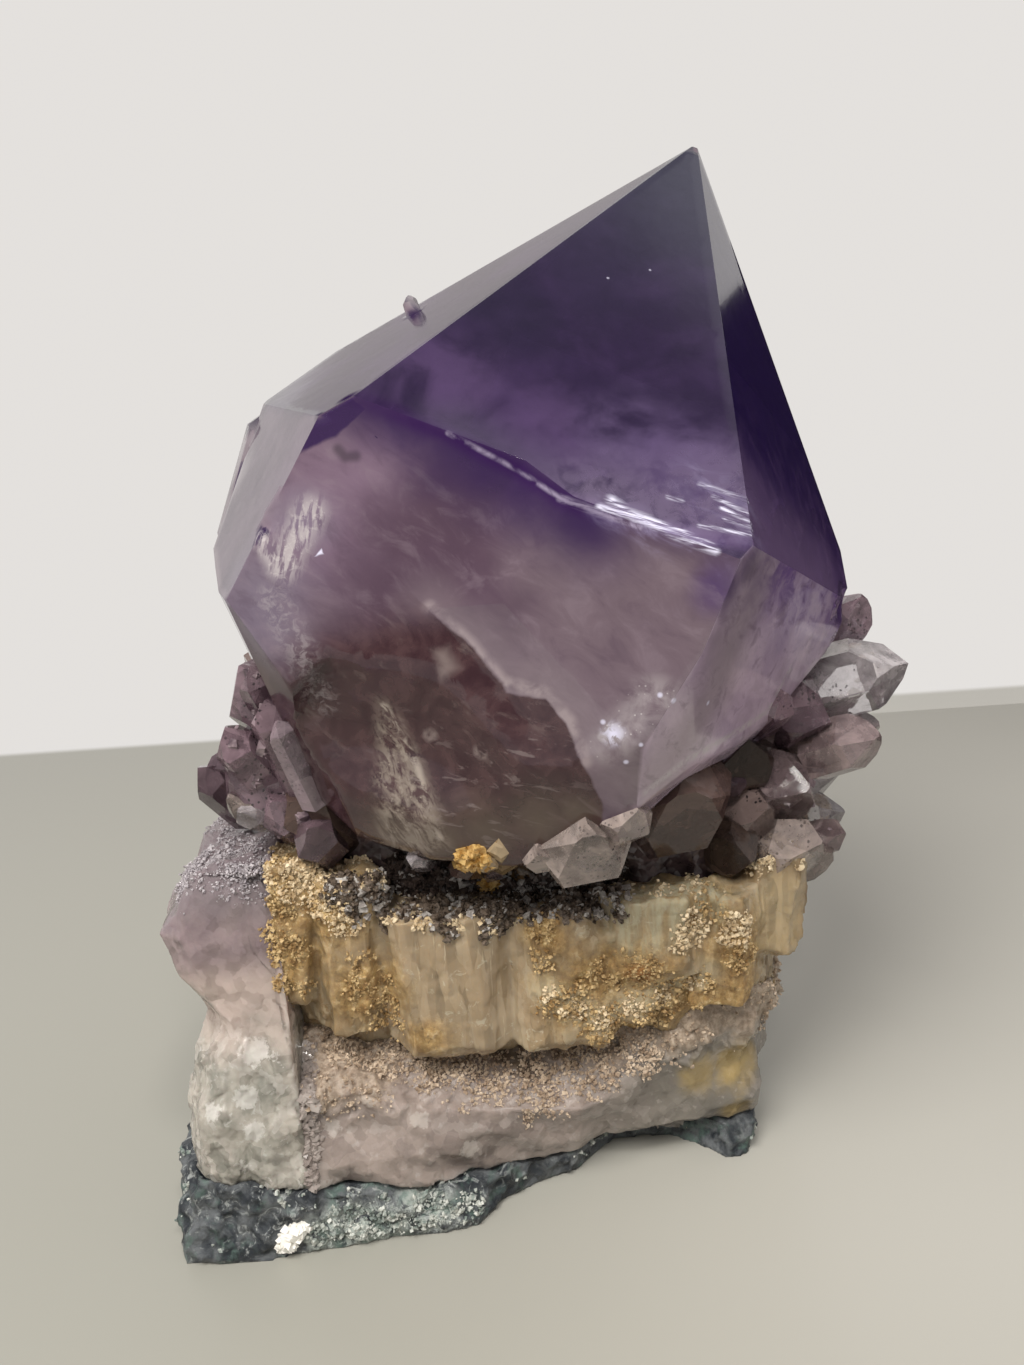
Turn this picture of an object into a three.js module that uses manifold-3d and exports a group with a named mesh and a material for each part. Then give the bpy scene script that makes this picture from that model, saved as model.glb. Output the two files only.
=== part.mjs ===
// An amethyst point on its matrix: one large lilac-to-purple quartz crystal that leans right, a collar of
// small quartz crystals round its foot, and under them the broken wall that they grew on, which is a band of
// honey-coloured columns, a layer of milky quartz, a purple-white quartz block and a thin crust of dark basalt.
//
// Millimetres. +Z is up, the front faces -Y, and the origin is at the middle of the flat underside.
import * as THREE from "three";
import { ConvexGeometry } from "three/addons/geometries/ConvexGeometry.js";
import { ImprovedNoise } from "three/addons/math/ImprovedNoise.js";
import { mergeVertices } from "three/addons/utils/BufferGeometryUtils.js";
import Module from "manifold-3d";

const wasm = await Module();
wasm.setup();

// Driving dimensions

const GAP = 0.3; // left open between two minerals that touch
const RHOMB_SLOPE = 38.2; // degrees between a quartz pyramid face and the crystal's long axis

const POINT_TIP = [37.7, 10, 185.7];
const POINT_TURN = [-5.92, 24.37, -9.55]; // degrees about x, y and z: it leans right and a little back
// Each face: its compass direction round the long axis (0 is the front), how far it tilts from that axis, and
// how far it stands from the axis through the tip.
const POINT_FACES = [
  { around: 0, tilt: RHOMB_SLOPE, out: 0 },
  { around: 61.5, tilt: RHOMB_SLOPE, out: 0.2 },
  { around: 120, tilt: RHOMB_SLOPE, out: 0.4 },
  { around: 180, tilt: RHOMB_SLOPE, out: 0.2 },
  { around: 240, tilt: RHOMB_SLOPE, out: 0.6 },
  { around: 299, tilt: RHOMB_SLOPE, out: 0.6 },
  { around: 60, tilt: 0, out: 51.5 },
  { around: 120, tilt: 0, out: 45.7 },
  { around: 180, tilt: 2, out: 47 },
  { around: 240, tilt: 0, out: 44.5 },
  { around: 275, tilt: -8, out: 67 },
  { around: 300, tilt: 7.5, out: 45.8 },
];
const FRONT_OUT = 50.5; // the front side face
const FRONT_STEP = 1.9; // its upper right part is a later layer that stands proud by this much
const FRONT_STEP_SHORES = [
  { around: -12, tilt: 2.7, out: 47.2 },
  { around: -5.5, tilt: -10.8, out: 67 },
];
const POINT_BLANK = { half: 90, below: 190, above: 10 }; // the block, seen from the tip, that the faces cut
// A small crystal that grew side by side with the point, on its upper left corner, measured from the tip.
const TWIN = { root: [-52, -13, -96], tip: [-55, -11, -70], width: 9.5, seed: 5 };
// A tiny crystal that stands on the point's upper left face.
const BUD = { root: [-15, 4.4, 159.4], tip: [-16.2, 5.5, 163.9], width: 2.6, seed: 11 };
// The rim where the point's broken underside meets its side faces, from the front left round to the back left.
const POINT_RIM = [
  [-42, -42, 119],
  [-41, -37, 108],
  [-38.5, -33, 96],
  [-35.5, -35, 83],
  [-29, -40, 78],
  [-17, -44, 75],
  [-4, -45.5, 73.5],
  [7, -48, 77],
  [15.5, -52, 85],
  [23.4, -48, 89],
  [34.8, -35, 88],
  [43, -27, 89.5],
  [50, -21, 95],
  [57, -15, 98.5],
  [63, -6, 102],
  [61, 12, 98],
  [52, 30, 92],
  [33, 41, 88],
  [10, 44, 84],
  [-14, 43, 84],
  [-34, 34, 90],
  [-45, 18, 98],
  [-49, -2, 106],
  [-47, -24, 113],
];
const RIM_MIDDLE = [3, -1];
const RIM_FLARE = 0.32; // the sides widen by this share of their height above the rim
const RIM_RISE = 130; // more than the point's own height
const ROOT_INSET = 0.45; // the root of the point is this much smaller than the rim
const ROOT_HEIGHT = 66;

// Shell-shaped breaks in the point: where each is, the way it faces, and how wide and deep it is.
const BREAKS = [
  { at: [-13, -50, 95], facing: [-0.3, -0.95, -0.06], radius: 24, depth: 1.8, seed: 3 },
  { at: [-34.5, -43.5, 134], facing: [-0.7, -0.7, 0.15], radius: 6, depth: 1.2, seed: 8 },
  { at: [60, -12, 103.5], facing: [0.8, -0.5, 0.1], radius: 5, depth: 1.2, seed: 7 },
];

const AROUND = 40; // facets round the largest blocks of rock
const LUMPS = { height: 2.8, size: 13 }; // the wander of a broken rock face, and the finer one upon it
const KNOBS = { height: 1.9, size: 6 };

// Small tools

const radians = THREE.MathUtils.degToRad;
const perlin = new ImprovedNoise();

// A repeatable random number from low to high.
function dice(seed) {
  let state = seed;
  return (low, high) => {
    state = (state + 0x6d2b79f5) | 0;
    let t = Math.imul(state ^ (state >>> 15), 1 | state);
    t = (t + Math.imul(t ^ (t >>> 7), 61 | t)) ^ t;
    return low + ((high - low) * ((t ^ (t >>> 14)) >>> 0)) / 4294967296;
  };
}

function solidOf(geometry) {
  const bare = geometry.clone();
  bare.deleteAttribute("normal");
  bare.deleteAttribute("uv");
  const merged = mergeVertices(bare, 1e-4);
  const index = merged.index.array;
  const triVerts = [];
  for (let i = 0; i < index.length; i += 3) {
    const [a, b, c] = index.slice(i, i + 3);
    if (a !== b && b !== c && c !== a) triVerts.push(a, b, c);
  }
  return new wasm.Manifold(
    new wasm.Mesh({
      numProp: 3,
      vertProperties: merged.attributes.position.array,
      triVerts: new Uint32Array(triVerts),
    }),
  );
}

// The largest of the bodies that a cut leaves.
function largest(solid) {
  const bodies = solid.decompose();
  return bodies.reduce((a, b) => (b.volume() > a.volume() ? b : a));
}

function join(solids) {
  return solids.reduce((a, b) => a.add(b));
}

// A layer of rock made wider all round by a little more than the gap given.
function spread(solid, gap) {
  const wider = 1 + gap / 28;
  return solid.scale([wider, wider, 1]);
}

// A layer of rock made taller about a level inside it.
function taller(solid, factor, level) {
  return solid.translate([0, 0, -level]).scale([1, 1, factor]).translate([0, 0, level]);
}

// The outward direction of a face that stands at a compass direction round the z axis and tilts up by tilt.
function outward(around, tilt) {
  const a = radians(around - 90);
  const t = radians(tilt);
  return [Math.cos(t) * Math.cos(a), Math.cos(t) * Math.sin(a), Math.sin(t)];
}

// Cuts away all that lies more than distance beyond the origin in the direction given.
function cutBeyond(solid, direction, distance) {
  return solid.trimByPlane(
    direction.map((v) => -v),
    -distance,
  );
}

// A body bounded by flat faces: a block, from low to high and half wide each way, cut by each face in turn.
function flatFaced(half, low, high, faces) {
  const block = new THREE.BoxGeometry(2 * half, 2 * half, high - low);
  block.translate(0, 0, (low + high) / 2);
  return faces.reduce(
    (body, face) => cutBeyond(body, outward(face.around, face.tilt), face.out),
    solidOf(block),
  );
}

// Stands a body, made along z from the origin, on root with its z axis towards tip.
function aim(solid, root, tip, twist) {
  const direction = new THREE.Vector3(...tip).sub(new THREE.Vector3(...root)).normalize();
  const turn = new THREE.Quaternion().setFromUnitVectors(new THREE.Vector3(0, 0, 1), direction);
  turn.multiply(new THREE.Quaternion().setFromAxisAngle(new THREE.Vector3(0, 0, 1), radians(twist)));
  const place = new THREE.Matrix4().compose(new THREE.Vector3(...root), turn, new THREE.Vector3(1, 1, 1));
  return solid.transform(place.elements);
}

// A small quartz crystal: six sides and a tip of three large and three small faces, no two alike.
function quartzCrystal({ root, tip, width, twist = 0, seed = 1, grow = 0 }) {
  const random = dice(seed);
  const length = new THREE.Vector3(...root).distanceTo(new THREE.Vector3(...tip));
  const faces = [];
  for (let k = 0; k < 6; k++) {
    faces.push({ around: 60 * k, tilt: random(0, 3), out: (width / 2) * random(0.82, 1.12) + grow });
  }
  const tipReach = length * Math.sin(radians(RHOMB_SLOPE));
  for (let k = 0; k < 6; k++) {
    const late = k % 2 ? random(0.05, 0.16) * width : random(-0.02, 0.05) * width;
    faces.push({ around: 60 * k, tilt: RHOMB_SLOPE, out: tipReach + late + grow });
  }
  return aim(flatFaced(width, 0, length + grow, faces), root, tip, twist);
}

// A smooth wander of a point in space, the same for every body that passes there.
function lumpy([x, y, z], { height, size }) {
  const n = (u, v, w) => perlin.noise((x + u) / size, (y + v) / size, (z + w) / size);
  return [x + height * n(3, 7, 1), y + height * n(17, 2, 9), z + height * n(5, 13, 21)];
}

// A block of rock: closed outlines at rising heights. Each outline lists the same number of points, in the same
// order round the block, and a point without a height of its own lies at the outline's. A flat foot lies at 0.
function rockBlock(outlines, { around = AROUND, flatFoot = false } = {}) {
  const rings = outlines.map(({ height, points }) => {
    const corners = points.map(([x, y, z = height]) => new THREE.Vector3(x, y, z));
    return new THREE.CatmullRomCurve3(corners, true, "centripetal");
  });
  const middles = outlines.map(({ height, points }) => {
    const sum = points.reduce((s, [x, y, z = height]) => [s[0] + x, s[1] + y, s[2] + z], [0, 0, 0]);
    return new THREE.Vector3(...sum).divideScalar(points.length);
  });
  const last = rings.length - 1;
  const sides = [];
  for (let ring = 0; ring <= last; ring += 0.5) sides.push({ ring, share: 1 });
  const rows = [
    { ring: 0, share: 0 },
    { ring: 0, share: 0.6 },
    ...sides,
    { ring: last, share: 0.8 },
    { ring: last, share: 0.5 },
    { ring: last, share: 0 },
  ];
  const profile = rows.map((row, i) => new THREE.Vector2(row.share, i));
  const lathe = new THREE.LatheGeometry(profile, around);
  const position = lathe.attributes.position;
  for (let i = 0; i < position.count; i++) {
    const { ring, share } = rows[i % rows.length];
    const turn = (Math.floor(i / rows.length) % around) / around;
    const below = Math.floor(ring);
    const above = Math.ceil(ring);
    const rim = rings[below].getPoint(turn).lerp(rings[above].getPoint(turn), ring - below);
    const spot = middles[below].clone().lerp(middles[above], ring - below).lerp(rim, share).toArray();
    const [x, y, z] = lumpy(lumpy(spot, LUMPS), KNOBS);
    const foot = ring === 0 ? 0 : Math.max(z, 0);
    position.setXYZ(i, x, y, flatFoot ? foot : z);
  }
  return solidOf(lathe);
}

// The amethyst point

// A shell-shaped cutter: a shallow bowl whose brim lies on the surface at its place.
function breakCutter({ at, facing, radius, depth, seed }) {
  const steps = 5;
  const brim = 6;
  const bowl = [];
  for (let i = 0; i <= steps; i++) {
    const share = i / steps;
    bowl.push(new THREE.Vector2(radius * share, -depth * (1 - share * share)));
  }
  bowl.push(new THREE.Vector2(radius * 1.15, brim), new THREE.Vector2(0, brim));
  const shell = new THREE.LatheGeometry(bowl, 18);
  shell.rotateX(Math.PI / 2);
  const position = shell.attributes.position;
  for (let i = 0; i < position.count; i++) {
    const spot = [position.getX(i), position.getY(i), position.getZ(i)];
    spot[0] += 40 * seed;
    const [x, y, z] = lumpy(spot, { height: radius * 0.16, size: radius * 1.2 });
    position.setXYZ(i, x - 40 * seed, y, z);
  }
  const tip = at.map((v, axis) => v + facing[axis]);
  return aim(solidOf(shell), at, tip, 0);
}

function pointCrystal() {
  const turn = new THREE.Euler(...POINT_TURN.map(radians), "YXZ");
  const place = new THREE.Matrix4().makeRotationFromEuler(turn).setPosition(...POINT_TIP);
  const withFront = (out) =>
    [...POINT_FACES, { around: 0, tilt: 0, out }];
  const whole = flatFaced(POINT_BLANK.half, -POINT_BLANK.below, POINT_BLANK.above, withFront(FRONT_OUT));
  const proud = withFront(FRONT_OUT + FRONT_STEP);
  let layer = flatFaced(POINT_BLANK.half, -POINT_BLANK.below, POINT_BLANK.above, proud);
  for (const { around, tilt, out } of FRONT_STEP_SHORES) layer = cutBeyond(layer, outward(around, tilt), out);
  return join([whole, layer, quartzCrystal(TWIN)]).transform(place.elements);
}

// The space above the point's broken underside: the rim, a flat root inside it, and sides that widen upwards.
function aboveUnderside() {
  const middle = new THREE.Vector2(...RIM_MIDDLE);
  const corners = [];
  for (const [x, y, z] of POINT_RIM) {
    const arm = new THREE.Vector2(x, y).sub(middle);
    const reach = arm.length();
    const corner = (out, height) => {
      const p = arm.clone().setLength(out).add(middle);
      corners.push(new THREE.Vector3(p.x, p.y, height));
    };
    corner(reach, z);
    corner(reach * (1 - ROOT_INSET), ROOT_HEIGHT);
    corner(reach + RIM_FLARE * RIM_RISE, z + RIM_RISE);
  }
  return solidOf(new ConvexGeometry(corners));
}

// The point grew over the middle of the druse, which leaves room in its foot for the bed and its crystals.
function amethystPoint(druseRoom) {
  const body = pointCrystal().intersect(aboveUnderside()).add(quartzCrystal(BUD));
  const broken = BREAKS.reduce((solid, place) => solid.subtract(breakCutter(place)), body);
  return largest(broken.subtract(druseRoom));
}

// The druse: a dark granular bed, and the crystals that stand on it round the foot of the point

const BED = [
  {
    height: 57,
    points: [
      [-45, -22], [-26, -29], [-6, -29], [14, -29], [32, -28], [46, -14],
      [48, 14], [34, 36], [8, 42], [-20, 40], [-42, 28], [-50, 2],
    ],
  },
  {
    height: 72,
    points: [
      [-45, -24, 76], [-26, -27, 72], [-6, -29, 68], [14, -29, 67], [34, -27, 68], [48, -14, 72],
      [50, 14], [36, 37], [8, 43], [-20, 41], [-44, 28, 74], [-51, 2, 77],
    ],
  },
  {
    height: 88,
    points: [
      [-42, -26, 98], [-28, -25, 84], [-8, -24, 80], [16, -25, 80], [38, -22, 86], [52, -12, 94],
      [53, 12, 92], [36, 34, 88], [8, 40, 85], [-20, 38, 86], [-42, 24, 94], [-48, -4, 102],
    ],
  },
];

const BED_LEVEL = 73; // about the middle of the bed's height

// Crystals that show from the front, each from its root to its tip.
const SHOWN_CRYSTALS = [
  { root: [50, -2, 84], tip: [73, -11, 92.5], width: 14, twist: 20, seed: 21 },
  { root: [44, -4, 84], tip: [55, -23, 86], width: 14, twist: 10, seed: 22 },
  { root: [48, -2, 74], tip: [69, -9, 79], width: 14, twist: 35, seed: 23 },
  { root: [42, -8, 70], tip: [50, -27, 74], width: 14.5, twist: 0, seed: 24 },
  { root: [34, -12, 62], tip: [42, -29, 73], width: 14, twist: 25, seed: 25 },
  { root: [36, -14, 59], tip: [56, -23, 60], width: 14, twist: 5, seed: 26 },
  { root: [48, -8, 61], tip: [61, -14, 64], width: 9, twist: 15, seed: 27 },
  { root: [48, -2, 67], tip: [61, -10, 71], width: 10, twist: 40, seed: 28 },
  { root: [46, -10, 78], tip: [59, -23, 80], width: 9, twist: 25, seed: 44 },
  { root: [32, -16, 66], tip: [38, -34, 65], width: 10, twist: 50, seed: 45 },
  { root: [58, 6, 86], tip: [68, 0, 103], width: 11, twist: 12, seed: 29 },
  { root: [24, -18, 72], tip: [25, -43, 84], width: 21, twist: 8, seed: 30 },
  { root: [-38, -12, 86], tip: [-46.5, -30, 105], width: 14, twist: 18, seed: 31 },
  { root: [-40, -14, 74], tip: [-50, -33, 91], width: 16, twist: 30, seed: 32 },
  { root: [-46, -2, 70], tip: [-58.5, -18, 83], width: 14, twist: 0, seed: 33 },
  { root: [-34, -22, 76], tip: [-38.5, -38, 96], width: 8.5, twist: 10, seed: 34 },
  { root: [-44, -24, 76], tip: [-51, -33, 83.5], width: 6, twist: 0, seed: 35 },
  { root: [-34, -20, 70], tip: [-40, -35, 83], width: 11, twist: 22, seed: 36 },
  { root: [7, -30, 70], tip: [12, -47, 80], width: 11, twist: 5, seed: 37 },
  { root: [-1, -30, 69], tip: [3, -46, 76], width: 7, twist: 33, seed: 38 },
  { root: [-7, -30, 66], tip: [-6, -44.5, 77], width: 5.5, twist: 12, seed: 39 },
  { root: [-10, -29, 66], tip: [-12, -43, 73], width: 5, twist: 40, seed: 40 },
  { root: [-18, -26, 66], tip: [-19, -42, 74], width: 4, twist: 0, seed: 41 },
];

// The rest stand in rows round the sides and back: how high each row roots, how far from the middle its tips
// reach, and how many crystals it has.
const HIDDEN_ROWS = [
  { from: 100, to: 238, count: 9, height: 84, rise: 11, reach: 13, width: 15, seed: 51 },
  { from: 93, to: 248, count: 10, height: 73, rise: 4, reach: 13, width: 14, seed: 52 },
  { from: 96, to: 258, count: 10, height: 65, rise: -1, reach: 10, width: 11, seed: 53 },
];

// A point on the bed's outline at a compass direction, 0 at the front.
function bedEdge(around, inset) {
  const a = radians(around - 90);
  return [1 + (51 - inset) * Math.cos(a), 4 + (39 - inset) * Math.sin(a)];
}

function hiddenCrystals(grow) {
  return HIDDEN_ROWS.flatMap(({ from, to, count, height, rise, reach, width, seed }) => {
    const random = dice(seed);
    return Array.from({ length: count }, (_, i) => {
      const around = from + ((to - from) * (i + random(-0.25, 0.25))) / (count - 1);
      const size = random(0.75, 1.2);
      const [x, y] = bedEdge(around, 7);
      const root = [x, y, height + random(-3, 3)];
      const length = reach * size + 7;
      const lift = rise * size + random(-3, 3);
      const a = radians(around - 90 + random(-14, 14));
      const tip = [x + length * Math.cos(a), y + length * Math.sin(a), root[2] + lift];
      return quartzCrystal({ root, tip, width: width * size, twist: random(0, 60), seed: seed + 7 * i, grow });
    });
  });
}

function druse(grow = 0) {
  const bed = taller(spread(rockBlock(BED, { around: 22 }), grow), 1 + grow / 14, BED_LEVEL);
  const crystals = SHOWN_CRYSTALS.map((crystal) => quartzCrystal({ ...crystal, grow }));
  return join([bed, ...crystals, ...hiddenCrystals(grow)]);
}

// The wall under the druse, from the crust up

const FOOT = [
  [-68, -48], [-44, -47.5], [-18, -43.5], [3, -31], [20, -24], [38, -29.5],
  [44, -5], [45, 27], [24, 43], [-12, 45], [-50, 41], [-70, 2],
];

const CRUST_TOP = [
  [-64, -44, 15], [-44, -45, 12], [-18, -42, 7.5], [3, -31, 5], [20, -25, 4], [38, -29, 6],
  [44, -5, 7], [45, 27, 9], [24, 43, 10], [-12, 45, 11], [-50, 41, 13], [-70, 2, 15],
];
const CRUST = [
  { height: 0, points: FOOT },
  { height: 3, points: FOOT },
  { height: 8, points: CRUST_TOP },
];

const MILKY_LAYER = [
  { height: 5, points: CRUST_TOP.map(([x, y, z]) => [x * 0.95, y * 0.95, z - 3]) },
  {
    height: 14,
    points: [
      [-60, -42], [-40, -44, 17], [-18, -42, 14], [4, -34, 11], [22, -30, 10], [40, -28, 12],
      [46, -5], [47, 27], [24, 45], [-12, 47], [-50, 43], [-66, 2],
    ],
  },
  {
    height: 24,
    points: [
      [-60, -40, 30], [-40, -41, 27], [-18, -40, 22], [5, -37, 20], [23, -33, 24], [41, -27, 28],
      [47, -5, 26], [48, 27], [24, 45], [-12, 47], [-50, 43], [-66, 2],
    ],
  },
  {
    height: 31,
    points: [
      [-58, -30, 38], [-40, -31, 32], [-18, -27, 28], [5, -28, 27], [24, -30, 33], [41, -26, 38],
      [47, -5, 36], [47, 26], [24, 43], [-12, 45], [-50, 40], [-62, 2],
    ],
  },
];

const HONEY_CORE = [
  {
    height: 24,
    points: [
      [-46, -24], [-32, -27], [-16, -27], [4, -28], [24, -29], [41, -25],
      [47, -4], [48, 24], [24, 42], [-12, 44], [-46, 38], [-58, 2],
    ],
  },
  {
    height: 42,
    points: [
      [-46, -31], [-32, -33], [-16, -34], [4, -34], [26, -35], [43, -26],
      [49, -4], [50, 24], [24, 43], [-12, 45], [-46, 39], [-58, 2],
    ],
  },
  {
    height: 55,
    points: [
      [-46, -32, 66], [-32, -34, 62], [-16, -35, 54], [6, -36, 53], [28, -36, 56], [46, -25, 60],
      [51, -4, 60], [52, 24, 58], [24, 43], [-12, 45], [-46, 39, 60], [-56, 2, 62],
    ],
  },
  {
    height: 60,
    points: [
      [-44, -26, 70], [-32, -27, 66], [-16, -27, 59], [6, -28, 58], [26, -29, 60], [42, -20, 62],
      [46, -2, 63], [46, 20, 62], [22, 38], [-12, 40], [-42, 34, 64], [-50, 2, 66],
    ],
  },
];

// The columns that stand out of the honey-coloured band, each between two heights.
const SHOWN_COLUMNS = [
  { x: -43.5, y: -30, width: 11, depth: 12, low: 43, high: 71, lean: 2, seed: 61 },
  { x: -34, y: -32, width: 14, depth: 11, low: 37, high: 68, lean: 4, seed: 62 },
  { x: -16.5, y: -32, width: 24, depth: 14, low: 31, high: 60.5, lean: 1, seed: 63 },
  { x: 3, y: -32, width: 20, depth: 12, low: 31.5, high: 59, lean: 0, seed: 64 },
  { x: 20.5, y: -33, width: 22, depth: 12, low: 45, high: 61.5, lean: -3, seed: 65 },
  { x: 14, y: -32, width: 17, depth: 9, low: 35, high: 47, lean: 6, seed: 68 },
  { x: 32, y: -31, width: 13, depth: 12, low: 37, high: 60, lean: 2, seed: 66 },
  { x: 42, y: -25, width: 14, depth: 13, low: 43, high: 64, lean: 3, seed: 67 },
];

function column({ x, y, width, depth, low, high, lean, seed }) {
  const random = dice(seed);
  const tall = high - low;
  const faces = [];
  for (let k = 0; k < 7; k++) {
    const around = (360 / 7) * k + random(-9, 9);
    faces.push({ around, tilt: random(-5, 5), out: (width / 2) * random(0.86, 1) });
  }
  for (let k = 0; k < 4; k++) {
    const around = 90 * k + random(-15, 15);
    faces.push({ around, tilt: -52, out: (tall / 2) * 0.8 + width * random(0.13, 0.22) });
  }
  const shaft = flatFaced(width, -tall / 2, tall / 2, faces);
  return shaft
    .scale([1, depth / width, 1])
    .rotate([0, lean, 0])
    .translate([x, y, (low + high) / 2]);
}

// The hidden sides and back of the band have columns too, a little smaller.
function hiddenColumns() {
  const count = 8;
  const random = dice(71);
  return Array.from({ length: count }, (_, i) => {
    const around = 92 + (170 * i) / (count - 1);
    const [x, y] = bedEdge(around, 2);
    const width = random(13, 18);
    const low = random(26, 34);
    return column({ x, y, width, depth: 11, low, high: random(57, 63), lean: random(-4, 4), seed: 72 + i });
  });
}

const PURPLE_BLOCK = [
  {
    height: 8,
    points: [
      [-65, -44], [-56, -45], [-47, -45], [-41, -42], [-38, -24],
      [-39, 6], [-42, 30], [-50, 40], [-59, 30], [-67, -2], [-67, -26],
    ],
  },
  {
    height: 26,
    points: [
      [-64.5, -40], [-56, -43], [-47, -43], [-41, -40], [-38, -24],
      [-39, 6], [-42, 31], [-50, 42], [-60, 32], [-67, -2], [-66, -24],
    ],
  },
  {
    height: 43,
    points: [
      [-58.5, -36, 42], [-53, -38], [-47, -39], [-41, -37], [-38, -24],
      [-39, 6], [-42, 30], [-50, 40], [-59, 30], [-64, -2], [-61, -22],
    ],
  },
  {
    height: 56,
    points: [
      [-68.5, -33, 57], [-59, -37], [-49, -38], [-43, -35], [-40, -22],
      [-41, 6], [-44, 28], [-51, 36], [-59, 26], [-69, -4], [-71, -22],
    ],
  },
  {
    height: 68,
    points: [
      [-62, -30, 67], [-55, -33, 70.5], [-49, -33, 72], [-45, -31, 71], [-42, -20, 73],
      [-42, 4, 70], [-46, 24, 64], [-52, 28, 62], [-58, 20, 63], [-65, -6, 65], [-64, -20, 66],
    ],
  },
];

const SEAM_X = -44; // the near-upright seam between the purple block and the rest of the wall
const SEAM_LEAN = 2; // degrees

function sideOfSeam(solid, side) {
  const direction = outward(90 * side, SEAM_LEAN * side);
  return cutBeyond(solid, direction, SEAM_X * side - GAP / 2);
}

const druseBody = druse();
const druseRoom = druse(GAP);
const crust = rockBlock(CRUST, { flatFoot: true });
const crustRoom = crust.add(spread(crust, GAP).translate([0, 0, GAP]));
const purpleWhole = sideOfSeam(rockBlock(PURPLE_BLOCK, { around: 28 }), 1);
const purpleBlock = largest(purpleWhole.subtract(crustRoom).subtract(druseRoom));
const milkyLayer = largest(sideOfSeam(rockBlock(MILKY_LAYER), -1).subtract(crustRoom));
const milkyRoom = milkyLayer.add(spread(milkyLayer, GAP).translate([0, 0, GAP]));
const honeyCore = rockBlock(HONEY_CORE, { around: 28 });
const honeyWhole = join([honeyCore, ...SHOWN_COLUMNS.map(column), ...hiddenColumns()]);
const honeyColumns = largest(sideOfSeam(honeyWhole, -1).subtract(milkyRoom).subtract(druseRoom));

// The pieces in place

const LOOKS = {
  amethyst_point: { color: 0x6f5896, roughness: 0.12 },
  amethyst_druse: { color: 0x6d5a6c, roughness: 0.25 },
  honey_columns: { color: 0xb9975c, roughness: 0.55 },
  milky_quartz: { color: 0xb3a6a4, roughness: 0.5 },
  purple_quartz_block: { color: 0x9f8ca3, roughness: 0.4 },
  basalt_crust: { color: 0x4c5759, roughness: 0.85 },
};

function mesh(name, solid) {
  const { vertProperties, triVerts } = solid.getMesh();
  const geometry = new THREE.BufferGeometry();
  geometry.setAttribute("position", new THREE.BufferAttribute(vertProperties, 3));
  geometry.setIndex(new THREE.BufferAttribute(triVerts, 1));
  geometry.computeVertexNormals();
  const made = new THREE.Mesh(geometry, new THREE.MeshStandardMaterial({ ...LOOKS[name], metalness: 0 }));
  made.name = name;
  return made;
}

const specimen = new THREE.Group();
specimen.add(mesh("amethyst_point", amethystPoint(druseRoom)));
specimen.add(mesh("amethyst_druse", druseBody));
specimen.add(mesh("honey_columns", honeyColumns));
specimen.add(mesh("milky_quartz", milkyLayer));
specimen.add(mesh("purple_quartz_block", purpleBlock));
specimen.add(mesh("basalt_crust", crust));

// The middle of the underside is the origin.
const centre = new THREE.Box3().setFromObject(specimen).getCenter(new THREE.Vector3());
specimen.position.set(-centre.x, -centre.y, 0);

const part = new THREE.Group();
part.add(specimen);
export default part;
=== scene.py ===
import math

import bmesh
import bpy
import numpy as np
from mathutils import Matrix, Vector


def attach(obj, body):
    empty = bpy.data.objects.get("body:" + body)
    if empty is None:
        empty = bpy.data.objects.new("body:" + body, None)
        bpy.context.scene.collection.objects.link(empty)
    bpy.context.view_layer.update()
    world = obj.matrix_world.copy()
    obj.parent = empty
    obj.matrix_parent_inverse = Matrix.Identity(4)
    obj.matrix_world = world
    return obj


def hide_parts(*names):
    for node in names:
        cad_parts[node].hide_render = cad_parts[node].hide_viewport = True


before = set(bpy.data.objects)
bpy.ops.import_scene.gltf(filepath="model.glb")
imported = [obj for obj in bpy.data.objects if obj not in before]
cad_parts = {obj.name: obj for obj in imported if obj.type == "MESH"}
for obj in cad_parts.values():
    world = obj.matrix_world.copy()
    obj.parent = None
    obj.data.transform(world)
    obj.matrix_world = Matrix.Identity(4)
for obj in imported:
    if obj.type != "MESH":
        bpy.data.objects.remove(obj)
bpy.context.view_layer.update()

# Camera
# The specimen is seen from 20 cm away, 15 cm above the shelf, looking 17 degrees down with the picture
# turned 4 degrees. All lengths below are in millimetres, and MM turns them into metres.

MM = 0.001
EYE = Vector((-1.5, -195, 150))
PITCH = math.radians(17)
ROLL = math.radians(3.9)
FOCAL_PX = 1026
PICTURE_PX = (1024, 1365)
SENSOR_MM = 36
TIP = Vector((37.7, 10, 185.7))

point_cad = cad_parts["amethyst_point"]
highest = max((v.co for v in point_cad.data.vertices), key=lambda co: co.z)
CENTRING = highest / MM - TIP  # the solids are centred over the origin, the places below aren't
CENTRING.z = 0

look = Vector((0, math.cos(PITCH), -math.sin(PITCH)))
above = Vector((0, math.sin(PITCH), math.cos(PITCH)))
right = math.cos(ROLL) * Vector((1, 0, 0)) - math.sin(ROLL) * above
above = math.sin(ROLL) * Vector((1, 0, 0)) + math.cos(ROLL) * above

camera = bpy.data.objects.new("camera", bpy.data.cameras.new("camera"))
camera.data.sensor_width = SENSOR_MM
camera.data.lens = SENSOR_MM * FOCAL_PX / PICTURE_PX[1]
camera.data.clip_start = 0.01
turn = Matrix((right, above, -look)).transposed().to_4x4()
camera.matrix_world = Matrix.Translation((EYE + CENTRING) * MM) @ turn
bpy.context.scene.collection.objects.link(camera)
bpy.context.scene.camera = camera


def ray_through(px, py):
    """The direction from the camera through a place in the picture."""
    across = (px - PICTURE_PX[0] / 2) / FOCAL_PX
    down = (py - PICTURE_PX[1] / 2) / FOCAL_PX
    return (look + right * across - above * down).normalized()


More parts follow.
